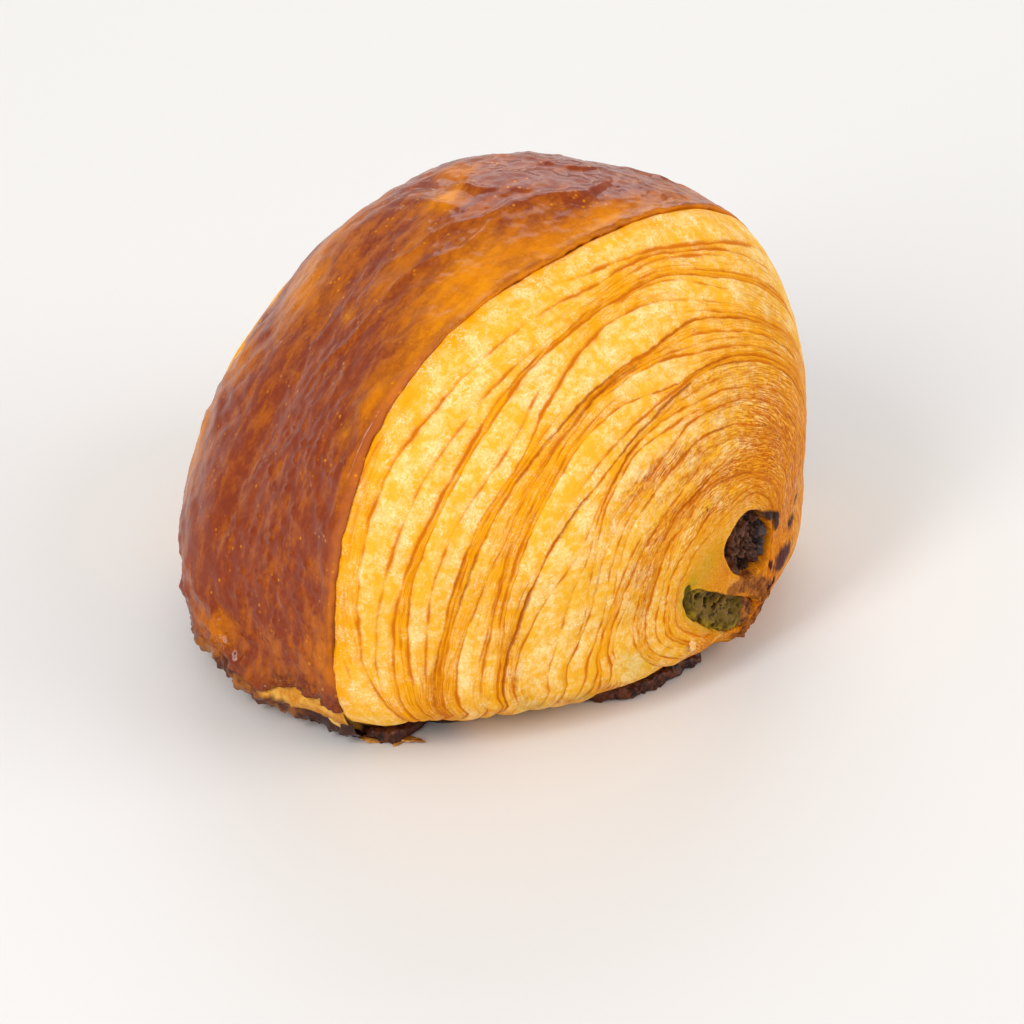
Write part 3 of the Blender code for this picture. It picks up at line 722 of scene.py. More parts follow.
# Where the main lines between layers run, as shares, at angles that fall in steps from the left foot.
LINE_ANGLES = np.radians(np.arange(195, 44, -15))
MAIN_LINES = (
    (0.900, 0.952, 0.964, 0.963, 0.948, 0.938, 0.937, 0.934, 0.935, 0.917, 0.898),
    (0.882, 0.904, 0.899, 0.872, 0.864, 0.878, 0.889, 0.903, 0.905, 0.870, 0.847),
    (0.862, 0.874, 0.880, 0.861, 0.852, 0.868, 0.880, 0.891, 0.890, 0.856, 0.825),
    (0.838, 0.822, 0.803, 0.785, 0.768, 0.800, 0.841, 0.860, 0.839, 0.793, 0.763),
    (0.822, 0.806, 0.782, 0.763, 0.748, 0.752, 0.764, 0.770, 0.784, 0.760, 0.732),
    (0.792, 0.776, 0.745, 0.720, 0.718, 0.733, 0.752, 0.758, 0.752, 0.728, 0.700),
    (0.743, 0.719, 0.705, 0.694, 0.698, 0.721, 0.738, 0.736, 0.711, 0.691, 0.667),
    (0.706, 0.682, 0.680, 0.670, 0.674, 0.692, 0.691, 0.672, 0.676, 0.668, 0.642),
    (0.696, 0.664, 0.639, 0.613, 0.595, 0.601, 0.624, 0.650, 0.663, 0.652, 0.627),
    (0.589, 0.546, 0.531, 0.516, 0.541, 0.582, 0.604, 0.607, 0.603, 0.583, 0.562),
    (0.541, 0.484, 0.465, 0.471, 0.480, 0.498, 0.530, 0.567, 0.565, 0.549, 0.518),
    (0.458, 0.420, 0.411, 0.420, 0.439, 0.458, 0.486, 0.511, 0.503, 0.475, 0.452),
    (0.418, 0.398, 0.380, 0.368, 0.370, 0.387, 0.418, 0.453, 0.465, 0.439, 0.418),
    (0.340, 0.332, 0.328, 0.326, 0.328, 0.352, 0.372, 0.393, 0.399, 0.385, 0.375),
    (0.306, 0.295, 0.289, 0.290, 0.300, 0.313, 0.342, 0.360, 0.350, 0.338, 0.325),
    (0.245, 0.237, 0.237, 0.238, 0.238, 0.253, 0.278, 0.308, 0.325, 0.319, 0.302),
    (0.205, 0.200, 0.200, 0.197, 0.199, 0.206, 0.220, 0.245, 0.262, 0.274, 0.265),
)
# Beyond the angles above, each line runs back to its mean place.
REST_ANGLES = np.radians((-90, -45, 0, 222, 250))
# Below this angle the outer lines run straight down to the base, and the inner ones bend round the fillings.
DOWN_FROM = np.radians(195)
DOWN_SHARES = (0.32, 0.44)
DOWN_END = np.radians((236, 264))
NEAR_PATH = 58.0
NARROWEST = 0.004
BAND_STEPS = (0.0, 0.05, 0.26, 0.58, 0.84, 0.95)
EYE_STEPS = 46
# The near end is two meshes that meet along this line, as one would be too large.
SPLIT_LINE = 18
NEAR_COLUMNS = np.radians(np.concatenate([
    np.linspace(-90, 24, 90, endpoint=False),
    np.linspace(24, 206, 455, endpoint=False),
    np.linspace(206, 270, 56, endpoint=False),
]))
# Across a line, in millimetres: its groove's depth, and how far groove, ink, darkness and glow reach.
MAIN_DEPTH, FINE_DEPTH = 0.11, 0.05
GROOVE_OUT, GROOVE_IN = 0.28, 0.12
INK_OUT, INK_IN = 0.30, 0.16
DARK_REACH = 0.27
GLOW_REACH = 1.1
BAND_RISE, BAND_RISE_SHARE = 0.20, 0.06
EDGE_STEP, EDGE_STEP_WIDTH = 0.20, 1.3
UNDER_LIP = 0.9
# The dough goes on under the crust: its places there and how deep it lies.
UNDER_CRUST = ((1.06, -1.8), (1.02, -1.1), (1.004, -0.5))
GLAZE_FULL, GLAZE_END = 0.0, 1.8
BATON_POCKET, MATCHA_POCKET, MATCHA_COVER = 3.0, 1.6, 0.9
# Bent lines across the near end, as x and z: the chocolate's thin hook, the browned edge over the matcha,
# and the plump end of the dough between the two fillings.
HOOK = ((12.6, 29.2), (15.0, 28.2), (19.0, 25.9), (19.3, 23.6))
BROWNED = ((7.2, 17.4), (10.2, 17.2), (13.8, 15.4), (16.8, 12.2), (18.0, 9.4), (16.8, 7.0), (12.5, 5.8))
OLIVE_HORN = ((-3.2, 22.6), (-3.4, 20.2), (-2.6, 17.4))
PLUMP = ((-0.8, 25.6), (2.8, 21.4), (6.8, 18.2), (11.5, 16.6))
PLUMP_REACH, PLUMP_RISE = 2.9, 1.3
# Where the low edge of the near end stands back: heights, and how far at the left corner and along the middle.
BACK_TOP, CORNER_LOW, CORNER_BACK, CORNER_END_X, CORNER_START_X = 8.5, 1.5, 7.5, -32.0, -43.0
MIDDLE_LOW, MIDDLE_TOP = 1.0, 10.5
MIDDLE_X, MIDDLE_BACK = (-18.0, -10.0, -2.0, 6.0, 13.0), (2.8, 3.2, 3.2, 2.4, 0.0)
LOBE_TOP, LOBE_RISE = 13.0, 0.45
# Deeper orange dough: round the fillings and down the right side.
NEAR_RICH = (
    Patch(90, 0.0, 360, 0.25, 0.66), Patch(10, 0.25, 40, 0.20, 1.0), Patch(30, 0.50, 34, 0.24, 0.75),
    Patch(60, 0.35, 34, 0.12, 0.7), Patch(-30, 0.30, 44, 0.28, 1.0), Patch(110, 0.24, 60, 0.07, 0.6),
    Patch(240, 0.35, 26, 0.30, 0.75), Patch(208, 0.52, 7, 0.05, 0.9), Patch(-10, 0.6, 20, 0.3, 0.7),
    Patch(228, 0.82, 18, 0.14, 0.5),
)

# Dark stretches of the main lines: which line, from and to which angle, and how dark.
DARK_STRETCHES = ((3, 200, 150, 0.5), (4, 170, 55, 0.75), (5, 118, 92, 0.7), (8, 200, 60, 0.9), (7, 100, 60, 0.5),
                  (9, 150, 110, 0.5), (10, 190, 150, 0.5), (11, 130, 70, 0.7), (12, 140, 100, 0.5),
                  (13, 150, 60, 0.7), (14, 125, 60, 0.6), (15, 150, 80, 0.5), (5, 52, -30, 0.6), (7, 40, -50, 0.8),
                  (8, 48, -60, 0.9), (10, 44, -60, 0.9), (11, 36, -60, 0.8), (13, 40, -60, 0.9), (14, 30, -70, 0.7))
NEAR_TOAST = (
    Patch(112, 0.500, 22, 0.032, 1.0), Patch(92, 0.480, 16, 0.032, 0.8), Patch(118, 0.355, 44, 0.034, 0.95),
    Patch(80, 0.370, 26, 0.045, 1.0), Patch(150, 0.310, 40, 0.024, 0.7), Patch(95, 0.290, 24, 0.034, 0.8),
    Patch(50, 0.430, 28, 0.220, 1.0), Patch(12, 0.420, 36, 0.300, 1.1), Patch(48, 0.700, 12, 0.200, 0.3),
    Patch(20, 0.200, 40, 0.100, 0.9), Patch(-30, 0.300, 50, 0.300, 1.0), Patch(240, 0.400, 24, 0.350, 1.0),
    Patch(186, 0.660, 16, 0.020, 0.6), Patch(190, 0.830, 10, 0.030, 0.6), Patch(-20, 0.120, 40, 0.090, 0.9),
    Patch(60, 0.560, 30, 0.030, 0.7), Patch(75, 0.640, 30, 0.020, 0.6), Patch(100, 0.430, 26, 0.020, 0.8),
    Patch(6, 0.420, 20, 0.110, 1.0), Patch(90, 0.000, 360, 0.120, 0.5), Patch(-14, 0.330, 16, 0.120, 1.0),
    Patch(203, 0.600, 6, 0.030, 0.8), Patch(205, 0.480, 6, 0.025, 0.9), Patch(201, 0.740, 5, 0.030, 0.6),
)
NEAR_SCORCH = (
    Patch(-14, 0.370, 6, 0.110, 1.0), Patch(-22, 0.320, 4, 0.040, 0.9), Patch(-3, 0.440, 4, 0.060, 0.8),
    Patch(3, 0.500, 3, 0.040, 0.7), Patch(-14, 0.250, 5, 0.018, 0.8), Patch(15, 0.300, 4, 0.010, 0.6),
    Patch(104, 0.300, 2, 0.006, 0.8), Patch(10, 0.560, 3, 0.014, 0.7),
)
NEAR_GREEN = (
    Patch(204, 0.560, 4, 0.030, 0.5), Patch(199, 0.660, 4, 0.030, 0.45), Patch(200, 0.370, 8, 0.040, 0.35),
    Patch(160, 0.150, 14, 0.030, 0.75), Patch(140, 0.120, 40, 0.050, 0.45),
)


def line_shares(angle):
    """Shares of every line on the near end, from the crust inwards: a main line, a fine one, and so on."""
    knots = np.concatenate([REST_ANGLES[:3], LINE_ANGLES[::-1], REST_ANGLES[3:]])
    low_angle = np.clip(angle, DOWN_FROM, DOWN_END[1])
    reach = EYE_X - section_outline(NEAR_SECTION, low_angle, ROUND_FOOT_POWER)[0]
    start_reach = EYE_X - section_outline(NEAR_SECTION, DOWN_FROM, ROUND_FOOT_POWER)[0]
    straight = start_reach / np.maximum(reach, 8.0) - 1
    straight = straight * (1 - ramp(angle, *DOWN_END))
    shares = [np.ones_like(angle)]
    for number, values in enumerate(MAIN_LINES):
        calm = np.mean(values)
        values = [calm, calm, (calm + values[-1]) / 2, *values[::-1], values[0], values[0]]
        line = closed_curve(knots, values, angle) + 0.0016 * waves(300 + number, angle, (11, 17, 26), 0.4)
        line = line + 0.0010 * waves(340 + number, angle, (41, 67, 109), 0.2)
        line = line * (1 + straight * ramp(values[-1], *DOWN_SHARES))
        shares.append(np.minimum(line, shares[-1] - 2 * NARROWEST))
    every = [shares[0]]
    for number, (outer, inner) in enumerate(zip(shares, shares[1:])):
        part = np.clip(0.5 + 0.34 * waves(400 + number, angle, (2, 3, 5), 0.5), 0.14, 0.86)
        every += [outer + (inner - outer) * part, inner]
    return every


def line_strength(number, angle):
    """How deep and plain a line is: main lines run all the way, and fine ones come and go."""
    swing = waves(500 + number, angle, (2, 3, 5, 8), 0.4)
    short = 0.25 * waves(540 + number, angle, (19, 31, 53), 0.3)
    if number % 2 == 0:
        return np.clip(0.60 + 0.35 * swing + short, 0.2, 1)
    return np.clip(0.38 + 0.60 * swing + short, 0, 1)


def line_darkness(number, angle):
    total = np.zeros_like(angle)
    degrees = np.degrees(angle)
    for line, start, end, amount in DARK_STRETCHES:
        if number == 2 * (line + 1):
            inside = ramp(degrees, end - 8, end + 8) * (1 - ramp(degrees, start - 8, start + 8))
            total = np.maximum(total, amount * inside)
    return total * np.clip(0.7 + 0.5 * waves(600 + number, angle, (5, 9, 14), 0.3), 0.2, 1)


def line_marks(number, to_outer, to_inner, strengths, darks):
    """Groove, ink, darkness and glow between two lines, soft outside a line and crisp inside it."""
    groove, ink, dark, glow = 0, 0, 0, 0
    sides = ((number, to_outer, GROOVE_IN, INK_IN), (number + 1, to_inner, GROOVE_OUT, INK_OUT))
    for line, distance, groove_reach, ink_reach in sides:
        depth = MAIN_DEPTH if line % 2 == 0 else FINE_DEPTH
        spread = ink_reach * (0.45 + 0.75 * strengths[line])
        groove = np.maximum(groove, depth * strengths[line] * np.exp(-((distance / groove_reach) ** 2)))
        ink = np.maximum(ink, strengths[line] * np.exp(-((distance / spread) ** 2)))
        dark = np.maximum(dark, darks[line] * np.exp(-((distance / DARK_REACH) ** 2)))
        if line == number + 1:
            glow = strengths[line] ** 0.5 * np.exp(-distance / GLOW_REACH)
    return groove, ink, dark, glow


def near_layers():
    """The near cut end, with rows that follow its lines, a dent at the eye and a pocket for each filling."""
    angle = NEAR_COLUMNS
    lines = line_shares(angle)
    strengths = [line_strength(number, angle) for number in range(len(lines))]
    darks = [line_darkness(number, angle) for number in range(len(lines))]
    rows = []
    flat = np.zeros_like(angle)
    degrees = np.degrees(angle)
    below_rim = np.maximum(ramp(degrees, 189, 193), 1 - ramp(degrees, -12, -7))
    for away, drop in UNDER_CRUST:
        rows.append((flat + away, drop * (1 - 0.85 * below_rim), flat, flat, flat, flat, flat, flat))
    for number in range(len(lines) - 1):
        outer, inner = lines[number], lines[number + 1]
        width = (outer - inner) * NEAR_PATH
        main = number // 2 * 2
        band_start, band_width = lines[main], (lines[main] - lines[main + 2]) * NEAR_PATH
        for step in BAND_STEPS:
            share = outer + (inner - outer) * step
            groove, ink, dark, glow = line_marks(number, step * width, (1 - step) * width, strengths, darks)
            across = np.clip((band_start - share) * NEAR_PATH / band_width, 0, 1)
            rise = np.minimum(BAND_RISE, BAND_RISE_SHARE * band_width)
            rise = rise * (1 - across) ** 0.7 * (1 - np.exp(-across * band_width / 0.15))
            lobe = (2 * np.sin(np.pi * across) ** 0.6 - 1) * np.minimum(1, 0.35 * band_width)
            narrow = 1 - ramp(band_width, 0.9, 3.4) * (0.6 + 0.4 * ramp(width, 0.3, 1.2))
            layer = (number + step) / 2 + flat
            rows.append((share, rise - groove, ink * 0.85, dark, glow, narrow, layer, lobe))
    last = lines[-1]
    for step in range(EYE_STEPS):
        ink = flat + 0.6 * np.exp(-((step / 1.2) ** 2))
        height = flat - 0.2 * np.exp(-((step / 2.0) ** 2))
        layer = flat + (len(lines) - 1 + step * 0.35) / 2
        rows.append((last * (1 - step / EYE_STEPS), height, ink, flat, flat, flat + 0.8, layer, flat))
    share, height, ink, dark, glow, narrow, layer, lobe = (np.array(values) for values in zip(*rows))
    turn = np.broadcast_to(angle, share.shape)
    smooth = roll_point(share, turn)
    across, up = smooth[..., 0], smooth[..., 2]
    from_crust = (near_place(lip_overlap(turn)) - share) * NEAR_PATH
    height = height + LOBE_RISE * lobe * (1 - ramp(up, 1.5, LOBE_TOP)) * ramp(from_crust, 0.5, 3)
    height = height + 0.35 * bumps(smooth, 9.0) + 0.08 * bumps(smooth, 2.6, 2, 7.0)
    height = height + 0.10 * bumps(smooth, 1.1, 2, 13.0) * (1 - ramp(share, 0.15, 0.25))
    height = height - EDGE_STEP * (1 - ramp(from_crust, 0, EDGE_STEP_WIDTH))
    height = height - UNDER_LIP * (1 - ramp(from_crust, -0.4, -0.05)) * (share <= 1)
    height = height - EYE_DENT * (1 - ramp(share, 0, EYE_RADIUS))
    plump = np.exp(-((path_distance(PLUMP, across, up) / PLUMP_REACH) ** 2))
    browned = np.exp(-((path_distance(BROWNED, across, up) / (0.9 + 0.09 * np.clip(across, 0, 20))) ** 2))
    horn = 1 - ramp(path_distance(OLIVE_HORN, across, up) + 0.4 * bumps(smooth, 1.6, 2, 21.0), 0.2, 1.2)
    crumbs = bumps(smooth, 1.5, 3, 9.0) + 0.5 * bumps(smooth, 0.7, 2, 4.0)
    hook = 1 - ramp(path_distance(HOOK, across, up) + 0.2 * bumps(smooth, 1.2, 2, 6.0), 0.55, 1.1)
    height = height + PLUMP_RISE * plump + browned * (0.5 + 0.8 * crumbs) + 0.3 * hook - 0.3 * horn
    corner = (1 - ramp(across, CORNER_START_X, CORNER_END_X)) * (1 - ramp(up, CORNER_LOW, BACK_TOP))
    corner = corner * (1 - ramp(share, 0.975, 1.0)) * (across < 0)
    middle = np.interp(across, MIDDLE_X, MIDDLE_BACK) * (1 - ramp(up, MIDDLE_LOW, MIDDLE_TOP))
    back = np.maximum(CORNER_BACK * corner, middle * (1 - ramp(share, 0.95, 1.0)))
    dark_low = 1 - ramp(up + 0.5 * bumps(smooth, 2.0, 2, 8.0), 4.4, 5.4)
    normal = outward(share, turn)
    level = normal * (1, 1, 0) / np.maximum(np.hypot(normal[..., 0], normal[..., 1]), 0.2)[..., None]
    point = smooth + normal * height[..., None] - level * back[..., None]
    masks = {
        "line": ink, "dark": dark, "edge": glow, "narrow": narrow, "layer": layer, "turn": turn,
        "glaze": 1 - ramp(from_crust + 1.2 * bumps(smooth, 6.0, 2, 4.0), GLAZE_FULL, GLAZE_END),
        "toast": painted(NEAR_TOAST, turn, share), "scorch": painted(NEAR_SCORCH, turn, share),
        "green": painted(NEAR_GREEN, turn, share), "brown": browned, "rich": painted(NEAR_RICH, turn, share),
        "burnt": np.maximum(dark_low * ramp(corner, 0.05, 0.2), hook), "olive": horn,
    }
    for bar, depth, cover in ((BATON, BATON_POCKET, 0.0), (MATCHA, MATCHA_POCKET, MATCHA_COVER)):
        measure = bar_measure(bar, across, up) + 0.05 * bumps(smooth, 2.5, 2, 3.0) + cover * plump**2
        point[..., 1] += depth * (1 - ramp(measure, 1.0, 1.07))
        point[..., 1] -= 0.3 * np.exp(-(((measure - 1.13) / 0.08) ** 2))
        masks["line"] = masks["line"] * ramp(measure, 1.05, 1.15)
        masks["burnt"] = masks["burnt"] * ramp(measure, 1.0, 1.07)
    green_rim = np.exp(-(((measure - 1.10) / 0.10) ** 2)) * (1 - ramp(across, 0, 6))
    masks["green"] = np.maximum(masks["green"], 0.75 * green_rim * (0.7 + 0.6 * bumps(smooth, 2.0, 2, 2.0)))
    split = len(UNDER_CRUST) + SPLIT_LINE * len(BAND_STEPS)
    outer = {name: values[:split + 1] for name, values in masks.items()}
    inner = {name: values[split:] for name, values in masks.items()}
    return (grid_piece("near_layers", point[:split + 1], DOUGH, outer),
            grid_piece("near_eye", point[split:], DOUGH, inner, tip=point[-1].mean(0)))


# The far cut end

FAR_LINE_COUNT, FAR_COLUMN_COUNT = 13, 400
FAR_PATH = 60.0
FAR_POCKET = 3.6
FAR_SEED = 77
FAR_RICH = (Patch(90, 0.0, 360, 0.22, 0.9), Patch(20, 0.40, 40, 0.30, 0.5))
FAR_TOAST = (Patch(100, 0.45, 60, 0.06, 0.6), Patch(200, 0.30, 60, 0.10, 0.7), Patch(0, 0.35, 50, 0.15, 0.8))


def far_layers():
    """The far cut end, in calmer layers of the same kind."""
    angle = np.linspace(-0.5 * np.pi, 1.5 * np.pi, FAR_COLUMN_COUNT, endpoint=False)
    lines = [FAR_CRUST_SHARE - far_overlap(angle)]
    widths = np.random.default_rng(FAR_SEED).uniform(0.35, 1.65, 2 * FAR_LINE_COUNT)
    inward = np.concatenate([[0], np.cumsum(widths / widths.mean())])
    for number in range(1, 2 * FAR_LINE_COUNT + 1):
        line = FAR_CRUST_SHARE - 0.0165 * inward[number] + 0.000075 * inward[number] ** 2
        line = line - far_overlap(angle) * (1 - inward[number] / inward[-1])
        line = line + 0.02 * np.sin(0.5 * np.pi * number / FAR_LINE_COUNT) * np.cos(3 * angle + 0.6)
        line = line + 0.006 * waves(700 + number, angle, (2, 3, 5), 0.4)
        lines.append(np.minimum(line, lines[-1] - NARROWEST))
    strengths = [line_strength(number + 40, angle) for number in range(len(lines))]
    darks = [0.5 * np.clip(waves(740 + number, angle, (2, 4, 7), 0.4), 0, 1) for number in range(len(lines))]
    rows = []
    flat = np.zeros_like(angle)
    for away, drop in ((0.05, -1.6), (0.015, -1.0)):
        rows.append((lines[0] + away, flat + drop, flat, flat, flat, flat, flat))
    for number in range(len(lines) - 1):
        outer, inner = lines[number], lines[number + 1]
        width = (outer - inner) * FAR_PATH
        for step in BAND_STEPS:
            groove, ink, dark, glow = line_marks(number, step * width, (1 - step) * width, strengths, darks)
            rise = 0.22 * (1 - step) ** 0.7 * (1 - np.exp(-step * width / 0.15))
            narrow = 1 - 0.8 * ramp(width, 0.6, 2.0)
            rows.append((outer + (inner - outer) * step, rise - groove, ink * 0.85, dark, glow, narrow,
                         (number + step) / 2 + flat))
    last = lines[-1]
    for step in range(EYE_STEPS):
        layer = flat + (len(lines) - 1 + step * 0.35) / 2
        rows.append((last * (1 - step / EYE_STEPS), flat, flat, flat, flat, flat + 0.7, layer))
    share, height, ink, dark, glow, narrow, layer = (np.array(values) for values in zip(*rows))
    turn = np.broadcast_to(angle, share.shape)
    smooth = roll_point(3 - share, turn)
    from_crust = (FAR_CRUST_SHARE - far_overlap(turn) - share) * FAR_PATH
    height = height + 0.35 * bumps(smooth, 9.0) + 0.08 * bumps(smooth, 2.6, 2, 7.0)
    height = height - EDGE_STEP * (1 - ramp(from_crust, 0, EDGE_STEP_WIDTH))
    height = height - EYE_DENT * (1 - ramp(share, 0, EYE_RADIUS))
    point = smooth + outward(3 - share, turn) * height[..., None]
    none = np.zeros_like(share)
    masks = {
        "line": ink, "dark": dark, "edge": glow, "narrow": narrow, "layer": layer, "turn": turn,
        "glaze": 1 - ramp(from_crust + 1.2 * bumps(smooth, 6.0, 2, 4.0), GLAZE_FULL, GLAZE_END),
        "toast": painted(FAR_TOAST, turn, share), "rich": painted(FAR_RICH, turn, share), "scorch": none,
        "green": none, "brown": none, "burnt": none, "olive": none,
    }
    for bar in (BATON, MATCHA):
        measure = bar_measure(bar, smooth[..., 0], smooth[..., 2]) + 0.05 * bumps(smooth, 2.5, 2, 3.0)
        point[..., 1] -= FAR_POCKET * (1 - ramp(measure, 1.0, 1.08))
        masks["line"] = masks["line"] * ramp(measure, 1.0, 1.1)
    return grid_piece("far_layers", point[:, ::-1], DOUGH,
                      {name: values[:, ::-1] for name, values in masks.items()}, tip=point[-1].mean(0))


# The crust

# Rows across the crust from its near edge: close together at both lips.
LIP_ROWS, LIP_REACH, MIDDLE_ROWS, FAR_LIP_ROWS = 26, 4.2, 112, 12
CRUST_COLUMNS = 580
OVERLAP_FADE = 10.0
LIP_HEIGHT, LIP_PEAK, LIP_RISE, LIP_FALL = 0.58, 1.15, 0.95, 1.9
LIP_SWOLLEN, LIP_SWOLLEN_ANGLES = 1.1, (126, 138, 158, 172)
# The lip's edge turns down and in: how far it lies along the roll and above or below the surface.
LIP_TURN = ((0.030, -1.6), (0.012, -1.2), (0.002, -0.75), (-0.0008, -0.35))
RIM_TURN = ((0.006, -1.6), (0.002, -0.9), (0.0, -0.3))
RIM_SPREAD = 0.075
# Long soft folds: from and to which angle and place, how wide and how high.
Fold = namedtuple("Fold", "angle place to_angle to_place width height")
FOLDS = (
    Fold(142, 1.77, 123, 1.54, 0.9, 0.75), Fold(124, 1.54, 95, 1.39, 0.9, 0.80),
    Fold(98, 1.40, 66, 1.35, 1.1, 0.70), Fold(112, 1.65, 90, 1.45, 0.8, 0.60),
    Fold(98, 1.96, 92, 1.60, 0.9, 0.50), Fold(104, 2.05, 100, 1.7, 1.0, 0.50),
    Fold(88, 1.98, 70, 1.62, 1.0, 0.60), Fold(150, 2.02, 133, 2.03, 1.2, 0.40),
    Fold(160, 1.9, 148, 1.75, 1.2, 0.35), Fold(186, 2.05, 190, 1.58, 1.1, 0.70),
    Fold(181, 2.05, 186, 1.80, 0.9, 0.60), Fold(150, 1.30, 112, 1.20, 2.0, 0.20),
    Fold(140, 2.00, 120, 1.85, 1.3, 0.40), Fold(172, 1.95, 163, 1.90, 1.0, 0.45),
    Fold(45, 1.3, 20, 1.7, 1.5, 0.6), Fold(30, 1.9, 5, 1.5, 1.5, 0.5), Fold(60, 2.1, 30, 2.0, 1.4, 0.5),
    Fold(62, 1.6, 40, 1.3, 1.3, 0.5), Fold(133, 1.62, 136, 1.30, 0.8, 0.40),
    Fold(84, 1.75, 66, 1.50, 0.9, 0.45), Fold(187, 1.42, 189, 1.20, 0.9, 0.35),
    Fold(176, 1.85, 186, 1.55, 0.9, 0.45), Fold(156, 1.68, 140, 1.62, 0.9, 0.30),
    Fold(120, 1.80, 106, 1.62, 0.8, 0.40),
)
# Broad places where the crust stands out or lies in, and where its foot is crumpled.
CRUST_SWELLS = (Patch(110, 2.15, 11, 0.22, 1.2), Patch(180, 1.05, 10, 0.1, 0.2))
CRUST_DIPS = (Patch(142, 1.90, 16, 0.35, 0.7), Patch(187, 1.75, 8, 0.25, 0.6))
CRUMPLED = (Patch(190, 1.80, 10, 0.28, 1.0), Patch(188, 2.10, 9, 0.20, 1.0))
CRUST_ORANGE_PATCHES = (
    Patch(110, 1.20, 20, 0.20, 1.0), Patch(112, 1.12, 22, 0.12, 1.0), Patch(84, 1.10, 28, 0.09, 0.95),
    Patch(110, 1.38, 14, 0.16, 0.50), Patch(135, 1.10, 9, 0.13, 0.75), Patch(147, 1.05, 7, 0.05, 0.6),
    Patch(116, 1.70, 14, 0.20, 0.40), Patch(101, 1.84, 5, 0.12, 0.85), Patch(93, 1.97, 3.5, 0.07, 0.8),
    Patch(185, 1.25, 9, 0.35, 0.28), Patch(190, 1.25, 3, 0.30, 0.6), Patch(166, 2.24, 10, 0.07, 0.8),
    Patch(143, 2.20, 6, 0.08, 0.6), Patch(126, 2.10, 9, 0.10, 0.75), Patch(112, 2.16, 12, 0.09, 0.75),
    Patch(128, 1.04, 8, 0.06, 0.6), Patch(172, 1.02, 18, 0.015, 0.5), Patch(186, 1.90, 5, 0.12, 0.6),
    Patch(182, 1.10, 14, 0.12, 0.45), Patch(30, 1.25, 25, 0.2, 0.6), Patch(20, 1.9, 20, 0.2, 0.5),
    Patch(70, 2.2, 30, 0.1, 0.7),
)
CRUST_BRIGHT_PATCHES = (
    Patch(112, 1.10, 14, 0.07, 0.55), Patch(108, 1.26, 9, 0.10, 0.35), Patch(84, 1.06, 26, 0.04, 0.55),
    Patch(100, 1.86, 2.5, 0.09, 0.6), Patch(142, 1.20, 1.6, 0.03, 0.6), Patch(127, 1.79, 1.5, 0.03, 0.5),
    Patch(166, 2.27, 6, 0.05, 0.6), Patch(122, 2.20, 6, 0.06, 0.4),
)
BLISTER_SEED, BLISTER_COUNT = 5, 110
BLISTER_ANGLES, BLISTER_PLACES = (146, 190), (1.06, 1.75)
CRUST_DEEP_PATCHES = (
    Patch(150, 1.50, 24, 0.5, 0.5), Patch(172, 1.90, 12, 0.2, 0.6), Patch(64, 1.5, 16, 0.4, 0.6),
    Patch(160, 2.12, 26, 0.07, 0.5), Patch(88, 1.6, 14, 0.16, 0.4), Patch(92, 1.45, 20, 0.10, 0.3),
)


def rim_angles(place, left):
    """The angle at which the crust's foot rim lies on the left or right, for each place."""
    rim_z = 9.4 + 1.6 * ramp(place, 1.05, 1.5) + 0.5 * np.sin(7 * place) + 0.35 * np.sin(23 * place + 1)
    if left:
        rim_z = rim_z - 3.6 * ramp(place, 1.25, 1.50) - 2.0 * ramp(place, 2.0, 2.3)
        search = np.radians(np.linspace(176, 215, 79))
    else:
        rim_z = rim_z - 3.0
        search = np.radians(np.linspace(0, -35, 71))
    angles = []
    for here, z in zip(place, rim_z):
        heights = roll_point(np.full_like(search, here), search)[:, 2]
        angles.append(np.interp(-z, -heights, search))
    return np.array(angles)


def fold_relief(place, angle):
    """The height of all long folds at each point, each a ridge that bows a little to one side."""
    total = np.zeros_like(place)
    around = 0.5 * (NEAR_SECTION.half_width + NEAR_SECTION.height)
    spot = np.stack([angle * around, place * CRUST_WIDTH], -1)
    for fold in FOLDS:
        start = np.array([np.radians(fold.angle) * around, fold.place * CRUST_WIDTH])
        run = np.array([np.radians(fold.to_angle) * around, fold.to_place * CRUST_WIDTH]) - start
        length = np.hypot(*run)
        part = ((spot - start) @ run) / length**2
        inside = np.clip(part, 0, 1)
        off = ((spot[..., 0] - start[0]) * run[1] - (spot[..., 1] - start[1]) * run[0]) / length
        off = off - 0.05 * length * np.sin(2.4 * np.pi * inside)
        total += fold.height * np.sin(np.pi * inside) * np.exp(-((off / fold.width) ** 2))
    return total


def blister_relief(place, angle):
    """Small round blisters on the crust's left side."""
    draw = np.random.default_rng(BLISTER_SEED)
    around = 0.5 * (NEAR_SECTION.half_width + NEAR_SECTION.height)
    total = np.zeros_like(place)
    for _ in range(BLISTER_COUNT):
        middle_angle = np.radians(draw.uniform(*BLISTER_ANGLES))
        middle_place = draw.uniform(*BLISTER_PLACES)
        size, rise = draw.uniform(0.35, 0.70), draw.uniform(0.22, 0.45)
        distance = ((angle - middle_angle) * around) ** 2 + ((place - middle_place) * CRUST_WIDTH) ** 2
        total = np.maximum(total, rise * np.exp(-distance / size**2))
    return total


def turned_edges(turn, steps, first, last):
    """Steps from a first to a last edge that both turn in: their places, and how far each lies below."""
    away, drop = np.array(turn).T
    places = np.concatenate([first + away, steps, (last - away)[::-1]])
    drops = np.concatenate([drop, np.zeros(len(steps)), drop[::-1]])
    return places, drops


